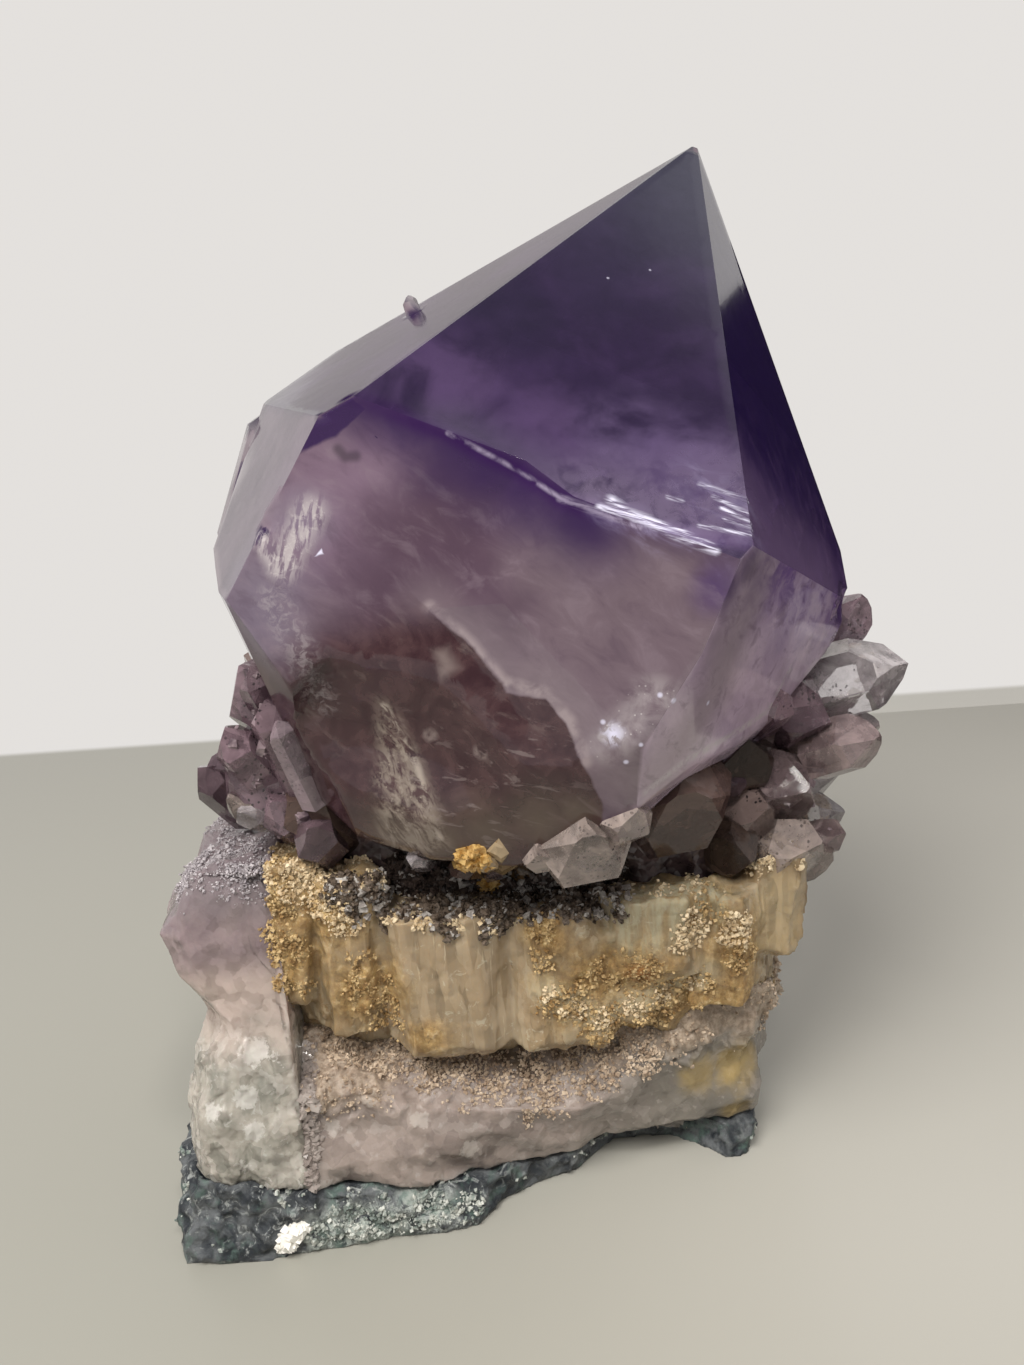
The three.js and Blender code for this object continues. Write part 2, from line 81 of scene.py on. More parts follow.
def spot(px, py):
    """Where a place in the picture lies on the solids, in mm."""
    graph = bpy.context.evaluated_depsgraph_get()
    start = camera.matrix_world.translation
    hit, place, *_ = bpy.context.scene.ray_cast(graph, start, ray_through(px, py))
    if not hit:
        raise ValueError(f"nothing is seen at {px}, {py}")
    return place / MM


# Materials
# The looks are worked out from patterns. Value does arithmetic on what varies over a surface, and Shade adds
# the parts of one material's tree. Places in it are in mm.


class Value:
    """A number that varies over a surface."""

    def __init__(self, shade, socket):
        self.shade = shade
        self.socket = socket

    def maths(self, operation, a, b=0.0):
        return Value(self.shade, self.shade.add("Math", {"operation": operation}, {0: a, 1: b}).outputs[0])

    def __add__(self, other):
        return self.maths("ADD", self, other)

    def __sub__(self, other):
        return self.maths("SUBTRACT", self, other)

    def __rsub__(self, other):
        return self.maths("SUBTRACT", other, self)

    def __mul__(self, other):
        return self.maths("MULTIPLY", self, other)

    __radd__ = __add__
    __rmul__ = __mul__

    def unsigned(self):
        return self.maths("ABSOLUTE", self)

    def most(self, other):
        return self.maths("MAXIMUM", self, other)

    def least(self, other):
        return self.maths("MINIMUM", self, other)

    def rise(self, low, high):
        """0 below low, 1 above high and smooth between; it falls instead where low is the larger."""
        sockets = {"Value": self, "From Min": low, "From Max": high}
        if low > high:
            sockets = {"Value": self, "From Min": high, "From Max": low, "To Min": 1.0, "To Max": 0.0}
        node = self.shade.add("MapRange", {"interpolation_type": "SMOOTHSTEP"}, sockets)
        return Value(self.shade, node.outputs["Result"])


def greatest(values, way=Value.most):
    """The greatest of several values, or with Value.least the smallest, taken two by two."""
    values = list(values)
    while len(values) > 1:
        values.append(way(values.pop(0), values.pop(0)))
    return values[0]


class Shade:
    """One material's node tree."""

    def __init__(self, name):
        self.material = bpy.data.materials.new(name)
        self.material.use_nodes = True
        self.tree = self.material.node_tree
        self.tree.nodes.clear()
        self.coordinates = self.add("TexCoord")
        whole = {"Vector": self.coordinates.outputs["Object"], "Scale": (1 / MM,) * 3}
        self.place = self.add("Mapping", {}, whole).outputs[0]

    def add(self, kind, settings=None, sockets=None):
        node = self.tree.nodes.new("ShaderNode" + kind)
        for key, value in (settings or {}).items():
            setattr(node, key, value)
        for key, value in (sockets or {}).items():
            if isinstance(value, Value):
                value = value.socket
            if isinstance(value, bpy.types.NodeSocket):
                self.tree.links.new(value, node.inputs[key])
            else:
                node.inputs[key].default_value = value
        return node

    def vector(self, operation, a, b):
        """Vector arithmetic that gives a vector."""
        second = "Scale" if operation == "SCALE" else 1
        return self.add("VectorMath", {"operation": operation}, {0: a, second: b}).outputs["Vector"]

    def measured(self, operation, a, b):
        """Vector arithmetic that gives a number."""
        return Value(self, self.add("VectorMath", {"operation": operation}, {0: a, 1: b}).outputs["Value"])

    def pushed(self, start, colour, reach):
        """A vector pushed about by a random colour, by up to reach along each axis."""
        push = self.vector("SUBTRACT", colour, (0.5, 0.5, 0.5))
        return self.vector("ADD", start, self.vector("SCALE", push, 2 * reach))

    def drawn(self, axis, factor):
        """The place, pressed together along an axis, so that a pattern read from it is drawn out that way."""
        shift = self.along(axis) * (factor - 1)
        return self.vector("ADD", self.place, self.vector("SCALE", tuple(axis), shift))

    def stirred(self, size, amount):
        """The place, pushed about by up to amount mm, so that what is read from it gets ragged outlines."""
        clouds = self.add("TexNoise", {}, {"Vector": self.place, "Scale": 1 / size, "Detail": 3.0})
        return self.pushed(self.place, clouds.outputs["Color"], amount)

    def noise(self, size, detail=3.0, rough=0.5, warp=0.0, at=None):
        """Clouds of about the size given, from 0 to 1."""
        sockets = {"Vector": at or self.place, "Scale": 1 / size}
        sockets.update({"Detail": detail, "Roughness": rough, "Distortion": warp})
        return Value(self, self.add("TexNoise", {}, sockets).outputs[0])

    def cells(self, size, at=None):
        """Cells of about the size given: the distance to a cell's middle, and a number of the cell's own."""
        node = self.add("TexVoronoi", {}, {"Vector": at or self.place, "Scale": 1 / size})
        own = self.add("SeparateColor", {}, {0: node.outputs["Color"]}).outputs[0]
        return Value(self, node.outputs["Distance"]), Value(self, own)

    def facet_normal(self, size, tilt, at=None, under=None):
        """The normal of broken crystalline stone: each small facet leans its own way."""
        cells = self.add("TexVoronoi", {}, {"Vector": at or self.place, "Scale": 1 / size})
        under = under or self.add("NewGeometry").outputs["Normal"]
        leaning = self.pushed(under, cells.outputs["Color"], tilt)
        return self.add("VectorMath", {"operation": "NORMALIZE"}, {0: leaning}).outputs[0]

    def of_face(self):
        """A number from 0 to 1 that each flat face has for its own."""
        own = self.vector("SNAP", self.coordinates.outputs["Normal"], (0.11, 0.11, 0.11))
        return Value(self, self.add("TexWhiteNoise", {}, {"Vector": own}).outputs["Value"])

    def along(self, axis, origin=(0, 0, 0), at=None):
        """How far the place lies along a direction, measured from origin."""
        offset = self.vector("SUBTRACT", at or self.place, tuple(origin))
        return self.measured("DOT_PRODUCT", offset, tuple(axis))

    def facing(self, axis, low=0.9, high=0.97):
        """1 where the surface faces a direction."""
        return self.measured("DOT_PRODUCT", self.coordinates.outputs["Normal"], tuple(axis)).rise(low, high)

    def from_line(self, a, b):
        """How far the place is from the straight line between a and b."""
        way = b - a
        from_a = self.vector("SUBTRACT", self.place, tuple(a))
        share = self.measured("DOT_PRODUCT", from_a, tuple(way / way.length_squared)).most(0.0).least(1.0)
        return self.measured("DISTANCE", from_a, self.vector("SCALE", tuple(way), share))

    def within(self, far, soft, wobble):
        """1 where far is below 1 and 0 above, with a soft edge that a noise can push about."""
        if wobble is not None:
            far = far + (wobble * 2 - 1)
        return far.rise(1 + soft, 1 - soft)

    def near_spots(self, places, soft=0.3, wobble=None):
        """1 round places given by where the picture shows them and a reach in mm."""
        far = []
        for px, py, reach in places:
            far.append(self.measured("DISTANCE", self.place, tuple(spot(px, py))) * (1 / reach))
        return self.within(greatest(far, Value.least), soft, wobble)

    def near_bends(self, bends, reach, soft=0.8, wobble=None):
        """1 along bent lines given by where the picture shows their corners."""
        far = []
        for bend in bends:
            corners = [spot(*corner) for corner in bend]
            far += [self.from_line(a, b) for a, b in zip(corners, corners[1:])]
        return self.within(greatest(far, Value.least) * (1 / reach), soft, wobble)

    def mix(self, factor, a, b):
        """From colour a, where factor is 0, to colour b, where it is 1."""
        a = (*a, 1) if isinstance(a, tuple) else a
        b = (*b, 1) if isinstance(b, tuple) else b
        return self.add("Mix", {"data_type": "RGBA"}, {0: factor, 6: a, 7: b}).outputs[2]

    def layers(self, base, *laid):
        """A colour with others laid over it in turn, each given as (where, colour)."""
        for where, colour in laid:
            base = self.mix(where, base, colour)
        return base

    def bump(self, height, distance, strength=1.0, under=None):
        """Relief of the distance given, in mm."""
        sockets = {"Height": height, "Distance": distance * MM, "Strength": strength}
        if under:
            sockets["Normal"] = under
        return self.add("Bump", {}, sockets).outputs[0]

    def blend(self, factor, a, b):
        return self.add("MixShader", {}, {0: factor, 1: a, 2: b}).outputs[0]

    def principled(self, **sockets):
        names = {key.replace("_", " ").title().replace("Ior", "IOR"): value for key, value in sockets.items()}
        names = {key: (*v, 1) if "Color" in key and isinstance(v, tuple) else v for key, v in names.items()}
        return self.add("BsdfPrincipled", {}, names).outputs[0]

    def shining(self, colour):
        """Light given off, in the colour given."""
        return self.add("Emission", {}, {"Color": (*colour, 1), "Strength": 1.0}).outputs[0]

    def done(self, surface, volume=None):
        sockets = {"Surface": surface}
        if volume:
            sockets["Volume"] = volume
        self.add("OutputMaterial", {}, sockets)
        return self.material


# Shelf and surroundings
# A plain pale shelf, slightly glossy, that gives way to the same pale tone as the surroundings some way off.

SHELF_HALF = 3000
SHELF_DEEP = 234
SHELF_WIDE = 700
PALE = (0.775, 0.75, 0.725)


def piece_from(name, mesh, material):
    made = bpy.data.objects.new(name, mesh)
    mesh.materials.append(material)
    bpy.context.scene.collection.objects.link(made)
    return made


shade = Shade("pale_shelf")
aside = shade.along((1, 0, 0))
away = shade.along((0, 1, 0))
gone = away.unsigned().rise(SHELF_DEEP, SHELF_DEEP * 1.03)
gone = gone.most(aside.unsigned().rise(SHELF_WIDE, SHELF_WIDE * 1.4))
# Painted shade: the shelf's tone is made greyer towards the left and towards the viewer.
tone = shade.layers(
    shade.mix(shade.noise(160, 2.0), (0.42, 0.41, 0.37), (0.5, 0.485, 0.44)),
    (aside.rise(90, -60) * 0.8, (0.32, 0.315, 0.275)),  # greyer towards the left
    (away.rise(-50, -130) * 0.5, (0.34, 0.33, 0.285)),  # and towards the viewer
)
top = shade.principled(base_color=tone, roughness=0.28, ior=1.45)
shelf_look = shade.done(shade.blend(gone, top, shade.shining(PALE)))

bm = bmesh.new()
bmesh.ops.create_grid(bm, x_segments=1, y_segments=1, size=SHELF_HALF * MM)
mesh = bpy.data.meshes.new("shelf")
bm.to_mesh(mesh)
bm.free()
shelf = piece_from("shelf", mesh, shelf_look)

# Light
# Pale walls all round, darker above and behind the viewer; a broad soft lamp from the upper left front, a
# small lamp for the glints, and two dark cards and a grey one that only mirrored rays see.

world = bpy.data.worlds.new("surroundings")
world.use_nodes = True
bpy.context.scene.world = world
tree = world.node_tree
tree.nodes.clear()


def world_node(kind, settings=None, sockets=None):
    node = tree.nodes.new("ShaderNode" + kind)
    for key, value in (settings or {}).items():
        setattr(node, key, value)
    for key, value in (sockets or {}).items():
        if isinstance(value, bpy.types.NodeSocket):
            tree.links.new(value, node.inputs[key])
        else:
            node.inputs[key].default_value = value
    return node


direction = world_node("TexCoord").outputs["Generated"]


def towards(axis, low, high):
    dot = world_node("VectorMath", {"operation": "DOT_PRODUCT"}, {0: direction, 1: axis}).outputs["Value"]
    sockets = {"Value": dot, "From Min": low, "From Max": high}
    return world_node("MapRange", {"interpolation_type": "SMOOTHSTEP"}, sockets).outputs["Result"]


def world_mix(factor, a, b):
    return world_node("Mix", {"data_type": "RGBA"}, {0: factor, 6: a, 7: b}).outputs[2]


sky = world_mix(towards((0, 0, 1), 0.5, 0.93), (*PALE, 1), (0.3, 0.3, 0.33, 1))
sky = world_mix(towards((0.5, 0.22, 0.84), 0.975, 0.999), sky, (0.8, 0.8, 0.85, 1))
sky = world_mix(towards((0, -1, 0), 0.1, 0.8), sky, (0.3, 0.29, 0.28, 1))
background = world_node("Background", {}, {"Color": sky, "Strength": 1.0})
world_node("OutputWorld", {}, {"Surface": background.outputs[0]})

LAMP_TINT = (1, 0.97, 0.92)
LAMP_AIM = Vector((0, 0, 60))


def lamp(name, place, size, power):
    """A round lamp of the width given in mm that shines on the specimen."""
    data = bpy.data.lights.new(name, "AREA")
    data.shape = "DISK"
    data.size = size * MM
    data.energy = power
    data.color = LAMP_TINT
    made = bpy.data.objects.new(name, data)
    made.location = Vector(place) * MM
    made.rotation_euler = (Vector(place) - LAMP_AIM).to_track_quat("Z", "Y").to_euler()
    bpy.context.scene.collection.objects.link(made)
    return made


lamp("soft_lamp", (-240, -400, 700), 420, 6.5).visible_glossy = False
lamp("glint_lamp", (120, -330, 640), 110, 1.2)


def glossy_card(name, corners, look_of_card):
    """A flat card that shows only in mirrored rays."""
    mesh = bpy.data.meshes.new(name)
    mesh.from_pydata([Vector(corner) * MM for corner in corners], [], [(0, 1, 2, 3)])
    card = piece_from(name, mesh, look_of_card)
    for seen_by in ("camera", "diffuse", "transmission", "shadow", "volume_scatter"):
        setattr(card, "visible_" + seen_by, False)


shade = Shade("dark_card")
dark_look = shade.done(shade.principled(base_color=(0.012, 0.008, 0.018), roughness=1.0))
glossy_card("dark_card", ((118, 215, 0), (420, 215, 0), (420, 215, 236), (118, 215, 206)), dark_look)
glossy_card("side_card", ((150, -60, 1), (150, 110, 1), (150, 110, 90), (150, -60, 90)), dark_look)
shade = Shade("grey_card")
grey_look = shade.done(shade.shining((0.55, 0.51, 0.5)))
glossy_card("grey_card", ((-175, 400, 246), (60, 400, 246), (60, 400, 360), (-175, 400, 360)), grey_look)

# The amethyst point
# One large quartz crystal that leans right, cloudy lilac below and deep purple under the tip. Its edges are
# slightly worn, the front edge is chipped, and a shell-shaped break opens its foot.

POINT_TURN = (-5.92, 24.37, -9.55)
RHOMB_SLOPE = 38.2


def turn_yxz(degrees):
    x, y, z = (math.radians(angle) for angle in degrees)
    return Matrix.Rotation(y, 3, "Y") @ Matrix.Rotation(x, 3, "X") @ Matrix.Rotation(z, 3, "Z")


point_axes = turn_yxz(POINT_TURN)


def outward(around, tilt):
    """The direction turned by so many degrees from the front to the right, and tilted up from level."""
    a = math.radians(around - 90)
    t = math.radians(tilt)
    return Vector((math.cos(t) * math.cos(a), math.cos(t) * math.sin(a), math.sin(t)))


def point_face(around, tilt):
    """The direction that a face of the leaning point looks in."""
    return point_axes @ outward(around, tilt)


def hashed(cell, seed):
    """Three repeatable random numbers from 0 to 1 for each whole-number cell."""
    x, y, z = (cell[:, axis].astype(np.uint32) for axis in range(3))
    h = x * np.uint32(73856093) ^ y * np.uint32(19349663) ^ z * np.uint32(83492791)
    h = h ^ np.uint32(seed * 2654435761 % 2**32)
    found = []
    for _ in range(3):
        h = (h ^ (h >> np.uint32(16))) * np.uint32(0x45D9F3B)
        h = (h ^ (h >> np.uint32(15))) * np.uint32(0x2C1B3C6D)
        h = h ^ (h >> np.uint32(16))
        found.append(h.astype(np.float64) / 2**32)
    return np.stack(found, axis=1)


def wander(p, size, seed):
    """Smooth noise from -1 to 1 at each point of an array."""
    q = p / size
    base = np.floor(q).astype(np.int64)
    f = q - base
    f = f * f * (3 - 2 * f)
    total = np.zeros(len(p))
    for corner in np.ndindex(2, 2, 2):
        corner = np.array(corner)
        weight = np.prod(np.where(corner, f, 1 - f), axis=1)
        total += weight * (2 * hashed(base + corner, seed)[:, 0] - 1)
    return total


def nearest_cells(p, size, seed):
    """For each point the distance and offset from the nearest cell's middle, and the cell's own numbers."""
    q = p / size
    base = np.floor(q).astype(np.int64)
    best = np.full(len(p), 9.0)
    offset = np.zeros_like(q)
    own = np.zeros_like(q)
    for step in np.ndindex(3, 3, 3):
        cell = base + np.array(step) - 1
        random = hashed(cell, seed)
        away = q - (cell + random)
        distance = np.einsum("ij,ij->i", away, away)
        closer = distance < best
        best[closer] = distance[closer]
        offset[closer] = away[closer]
        own[closer] = hashed(cell[closer], seed + 1)
    return np.sqrt(best) * size, offset * size, own


def facets(p, size, seed):
    """A broken crystalline surface from about -1 to 1: flat facets, each with a slope of its own."""
    _, offset, own = nearest_cells(p, size, seed)
    slope = 2 * own - 1
    return np.einsum("ij,ij->i", offset, slope) / size + 0.5 * slope[:, 0]


def scoops(p, size, seed):
    """A shell-like broken surface from about 0 to 1: shallow hollows that meet in sharp ridges."""
    q = p / size
    base = np.floor(q).astype(np.int64)
    low = np.full(len(p), 9.0)
    for step in np.ndindex(3, 3, 3):
        cell = base + np.array(step) - 1
        away = q - (cell + hashed(cell, seed))
        own = hashed(cell, seed + 1)
        rise = np.einsum("ij,ij->i", away, away) + 0.9 * np.einsum("ij,ij->i", away, own - 0.5)
        rise = rise + 0.3 * own[:, 0]
        low = np.minimum(low, rise)
    return low


def ease(value, low, high):
    """0 at low, 1 at high and smooth between, for arrays."""
    t = np.clip((value - low) / (high - low), 0, 1)
    return t * t * (3 - 2 * t)


def merged_copy(node):
    """A node's mesh with its loose triangles joined."""
    bm = bmesh.new()
    bm.from_mesh(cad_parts[node].data)
    bmesh.ops.remove_doubles(bm, verts=bm.verts, dist=1e-6)
    return bm


def read_points(mesh):
    """A mesh's points, in mm, and the directions it faces there."""
    p = np.empty(len(mesh.vertices) * 3)
    mesh.vertices.foreach_get("co", p)
    n = np.empty(len(mesh.vertices) * 3)
    mesh.vertices.foreach_get("normal", n)
    return p.reshape(-1, 3) / MM, n.reshape(-1, 3)


def write_points(mesh, p):
    mesh.vertices.foreach_set("co", (p * MM).ravel())
    mesh.update()


EDGE_WORN = 0.25
EDGE_AT = ((346, 398), (448, 433), (518, 470), (560, 498), (640, 528), (744, 543))
EDGE_BAND = 4  # mm to both sides of the chipped edge, with a finer net
EDGE_NET = 0.8
front_edge = [spot(*at) for at in EDGE_AT]


def distance_to_line(p, corners):
    """How far each point is from a bent line through the corners."""
    best = np.full(len(p), 1e9)
    for a, b in zip(corners, corners[1:]):
        a, b = np.array(a), np.array(b)
        share = np.clip((p - a) @ (b - a) / ((b - a) @ (b - a)), 0, 1)
        best = np.minimum(best, np.linalg.norm(p - a - share[:, None] * (b - a), axis=1))
    return best


def wear_down(bm, edges, width, segments):
    """Rounds sharp edges off."""
    bmesh.ops.bevel(
        bm, geom=edges, offset=width * MM, affect="EDGES", segments=segments, profile=0.5, material=-1,
        clamp_overlap=True,
    )


# The long edges are worn, except low down. The net gets finer in steps, most of all at the chipped edge.
bm = merged_copy("amethyst_point")
bmesh.ops.dissolve_limit(bm, angle_limit=math.radians(1), verts=bm.verts, edges=bm.edges)
worn_edges = [e for e in bm.edges if len(e.link_faces) == 2 and e.calc_face_angle() > math.radians(14)]
worn_edges = [
    e for e in worn_edges if e.calc_length() > 6 * MM and (e.verts[0].co + e.verts[1].co).z > 200 * MM
]
wear_down(bm, worn_edges, EDGE_WORN, 2)
bmesh.ops.triangulate(bm, faces=bm.faces)
for longest in (12, 6, 3):
    for _ in range(3):
        far = [e for e in bm.edges if e.calc_length() > longest * MM]
        if far:
            bmesh.ops.subdivide_edges(bm, edges=far, cuts=1)
            bmesh.ops.triangulate(bm, faces=bm.faces)
edge_line = [np.array(corner) for corner in front_edge]
for _ in range(4):
    middles = np.array([(e.verts[0].co + e.verts[1].co) / 2 for e in bm.edges]) / MM
    close = distance_to_line(middles, edge_line) < EDGE_BAND
    fine = [e for e, is_close in zip(bm.edges, close) if is_close and e.calc_length() > EDGE_NET * MM]
    bmesh.ops.subdivide_edges(bm, edges=fine, cuts=1)
    bmesh.ops.triangulate(bm, faces=bm.faces)
mesh = bpy.data.meshes.new("amethyst_point_grown")
bm.to_mesh(mesh)
bm.free()
p, _ = read_points(mesh)
off_edge = distance_to_line(p, edge_line)
inward = -np.array((point_face(0, RHOMB_SLOPE) + point_face(0, 0)).normalized())
chip = ease(off_edge, 1.6, 0) * (0.3 + ease(wander(p, 2.2, 3), -0.1, 0.7) + 0.3 * facets(p, 1.2, 4))
p += np.outer(np.clip(chip, 0, None) * 0.1, inward)
write_points(mesh, p)
mesh.shade_smooth()
mesh.set_sharp_from_angle(angle=math.radians(24))

QUARTZ_IOR = 1.544

amethyst = Shade("amethyst")
axis = point_axes @ Vector((0, 0, 1))
edge_way = (front_edge[-1] - front_edge[3]).normalized()
from_tip = -1 * amethyst.along(axis, TIP + CENTRING)

# The patterns that break up the masks below
haze = amethyst.noise(14, 5.0, 0.55, 0.4)
fine_haze = amethyst.noise(4, 5.0, 0.62, 0.5)
soft = amethyst.noise(7, 3.0, 0.5, 0.4) * 0.4 + 0.3
ragged = amethyst.stirred(5, 0.9)
strokes = amethyst.noise(3.2, 6.0, 0.62, 0.6, at=amethyst.drawn((0.78, 0.1, -0.62), 0.35))
streak = amethyst.noise(0.5, 3.0, 0.6, 0.4, at=amethyst.drawn(edge_way, 0.1))
grain = amethyst.noise(3.0, 4.0, 0.6, 0.3, at=amethyst.drawn(axis, 0.18))
shards = amethyst.noise(1.7, 5.0, 0.65, 0.8, at=amethyst.drawn((0.42, 0.05, -0.9), 0.4))
flaws = amethyst.noise(1.3, 4.0, 0.6, 0.5, at=amethyst.drawn((0.97, 0, -0.2), 0.22)).rise(0.58, 0.66)
rays = amethyst.noise(1.0, 4.0, 0.6, 0.3, at=amethyst.drawn((0.25, 0.1, 0.96), 0.2))
crumbs = amethyst.noise(1.5, 4.0, 0.7, 0.8)
# Painted glints: tiny bright dots that the wedge, the fan and the star take into their colour.
sparkle_at, sparkle_own = amethyst.cells(0.8)
sparkle = sparkle_at.rise(0.22, 0.1) * sparkle_own.rise(0.6, 0.66)


def patch(*places, soft_edge=0.7, wobble=soft):
    """A mask round places given by their spot in the picture and a reach in mm."""
    return amethyst.near_spots(places, soft_edge, wobble)


def line(*corners, reach, soft_edge=1.0, wobble=None):
    """A mask along a bent line given by spots in the picture."""
    return amethyst.near_bends([corners], reach, soft_edge, wobble)


def inside(*corners, soft_edge=0.4):
    """A mask on the front face, right of a line through spots in the picture that bends only to the right."""
    corners = [spot(*corner) for corner in corners]
    depths = []
    for a, b in zip(corners, corners[1:]):
        inner = (b - a).cross(point_face(0, 0)).normalized()
        depths.append(amethyst.along(inner, a, ragged))
    return greatest(depths, Value.least).rise(-soft_edge, soft_edge)


front = amethyst.facing(point_face(0, 0), 0.8, 0.95)
behind = amethyst.facing((0, 1, 0), 0.05, 0.3)
right_side = amethyst.facing(point_face(60, 0), 0.7, 0.9)
left_side = amethyst.facing(point_face(300, 0), 0.7, 0.9) * from_tip.rise(100, 120)
front_tip = amethyst.facing(point_face(0, RHOMB_SLOPE), 0.85, 0.95)
right_tip = amethyst.facing(point_face(60, RHOMB_SLOPE), 0.8, 0.95)
left_tip = amethyst.facing(point_face(300, RHOMB_SLOPE), 0.8, 0.95)
tips = greatest([front_tip, right_tip, left_tip])

# The tip's faces are deep purple, and the right one is nearly black.
veil_on_edge = line((448, 433), (518, 470), (560, 498), (640, 528), reach=4.5, wobble=soft)
veil_beside = line((600, 505), (665, 515), (745, 500), reach=7, wobble=soft) * fine_haze.rise(0.3, 0.55)
lit_corner = line((755, 525), (790, 575), (825, 590), reach=10, wobble=soft)
indigo = amethyst.layers(
    amethyst.mix(from_tip.rise(44, 80), (0.01, 0.0015, 0.046), (0.085, 0.04, 0.15)),
    (grain.rise(0.45, 0.7) * from_tip.rise(35, 70) * 0.6, (0.13, 0.075, 0.18)),
    (lit_corner * 0.7, (0.17, 0.11, 0.21)),
)
deep = amethyst.layers(
    amethyst.mix(haze.rise(0.38, 0.7), (0.016, 0.006, 0.034), (0.038, 0.018, 0.068)),
    (patch((505, 300, 10), (590, 285, 9)) * 0.7, (0.014, 0.008, 0.03)),
    (patch((440, 385, 9), (400, 425, 7), (545, 440, 9)) * haze.rise(0.3, 0.6) * 0.8, (0.08, 0.045, 0.12)),
    (patch((690, 470, 9), (640, 440, 8), (715, 500, 7)) * haze.rise(0.25, 0.5) * 0.9, (0.1, 0.065, 0.15)),
    (from_tip.rise(38, 6), (0.034, 0.032, 0.056)),
    (veil_on_edge * 0.6, (0.085, 0.066, 0.115)),
    (veil_beside * 0.75, (0.16, 0.12, 0.2)),
    (right_tip, indigo),
)

# The sides are cloudy lilac, with purple that spills over from the tip on the right.
spill = line((770, 556), (815, 580), (850, 600), (846, 640), reach=9, wobble=soft)
spill = spill * right_side * (fine_haze.rise(0.65, 0.4) * 0.5 + 0.5)
plume = patch((795, 612, 6), (815, 604, 5), soft_edge=1.0) * (strokes.rise(0.35, 0.65) * 0.45 + 0.15)
left_milk = patch((255, 590, 7), (262, 625, 6), (275, 640, 5), (300, 520, 4), soft_edge=1.0)
grey_seam = line((757, 575), (745, 610), (715, 690), (660, 770), reach=6, wobble=soft)
dark_hook = line((338, 449), (345, 457), (356, 456), reach=0.7, soft_edge=0.8)
smoky_clouds = patch((470, 560, 11), (445, 510, 8), (510, 595, 7), (395, 590, 8), (410, 545, 8))
pale_clouds = patch((600, 620, 12), (560, 565, 8), (660, 660, 11), (620, 690, 9), (650, 565, 8))
lilac = amethyst.layers(
    amethyst.mix(haze.rise(0.3, 0.7), (0.085, 0.052, 0.08), (0.155, 0.11, 0.14)),
    (patch((355, 500, 12), (385, 465, 8), (325, 530, 7)) * 0.85, (0.175, 0.115, 0.168)),
    (smoky_clouds * 0.85, (0.068, 0.037, 0.06)),
    (pale_clouds * 0.9, (0.14, 0.1, 0.122)),
    (right_side, amethyst.mix(haze.rise(0.3, 0.7), (0.32, 0.24, 0.32), (0.52, 0.41, 0.5))),
    (left_side * 0.95, (0.13, 0.085, 0.24)),
    (spill, (0.13, 0.07, 0.22)),
    (plume, (0.62, 0.52, 0.66)),
    (patch((775, 660, 5), (740, 705, 6), soft_edge=1.0) * 0.45, (0.2, 0.13, 0.24)),
    (patch((750, 566, 2.6), (722, 588, 3.5)) * 0.85, (0.05, 0.02, 0.1)),
    (grey_seam * 0.55, (0.26, 0.215, 0.215)),
    (left_milk * 0.6, (0.2, 0.17, 0.225)),
    (strokes.rise(0.48, 0.72) * 0.3, (0.24, 0.185, 0.22)),
    (strokes.rise(0.5, 0.28) * 0.35, (0.06, 0.034, 0.058)),
    (dark_hook * 0.7, (0.05, 0.035, 0.05)),
)

# In the window, where the foot is broken open, the quartz is clearer and darker.
WINDOW_RIM = ((430, 608), (471, 644), (503, 682), (547, 695), (568, 720), (585, 762))
window = inside((310, 637), (425, 610), soft_edge=4.5).least(
    inside((425, 606), (470, 646), (503, 685), (517, 740))
)
window = window.most(
    inside((465, 689), (547, 698), (566, 722), (582, 760), (600, 800), (608, 850), soft_edge=0.3)
)
window = window * (1 - patch((258, 690, 6), (262, 640, 5), (272, 735, 5), soft_edge=1.0) * 0.8)
outside = 1 - window
foot = patch((440, 840, 5), (485, 832, 5), (540, 822, 5), (575, 812, 3), (395, 835, 5), soft_edge=1.0)
WEDGE_CORNERS = ((366, 696), (390, 706), (427, 775), (448, 845), (392, 850), (376, 780), (366, 696))
# The wedge is a paler crystal in the window with painted glints, and a painted highlight runs along its ridge.
wedge = inside(*WEDGE_CORNERS, soft_edge=1.8)
wedge = wedge * (shards.rise(0.4, 0.6) * 0.75 + crumbs.rise(0.52, 0.62) * 0.3 + sparkle * 0.8).least(1.0)
wedge_ridge_glint = line((384, 706), (418, 768), (440, 838), reach=0.5) * shards.rise(0.4, 0.55)
left_foot = line((300, 745), (318, 790), (352, 838), reach=2.2, wobble=soft) * crumbs.rise(0.4, 0.6)
chips = patch((480, 752, 1.2), (430, 735, 1.2), soft_edge=0.4) * fine_haze.rise(0.45, 0.6)
large_chip = inside((434, 652), (446, 648), (457, 668), (443, 678), (434, 652), soft_edge=1.2)
chips = chips.most(large_chip * fine_haze.rise(0.3, 0.5))
mauve = amethyst.layers(
    amethyst.mix(fine_haze.rise(0.35, 0.7), (0.034, 0.011, 0.016), (0.07, 0.034, 0.037)),
    (foot * 0.8, (0.11, 0.08, 0.06)),
    (strokes.rise(0.56, 0.7) * 0.4, (0.16, 0.115, 0.108)),
    (wedge, (0.27, 0.222, 0.185)),
    (wedge_ridge_glint * 0.8, (0.42, 0.36, 0.31)),
    (left_foot * 0.5, (0.17, 0.13, 0.135)),
    (chips * 0.6, (0.25, 0.2, 0.19)),
    (flaws * patch((470, 812, 9), (520, 770, 8), (420, 770, 7), soft_edge=0.8) * 0.5, (0.22, 0.175, 0.17)),
)
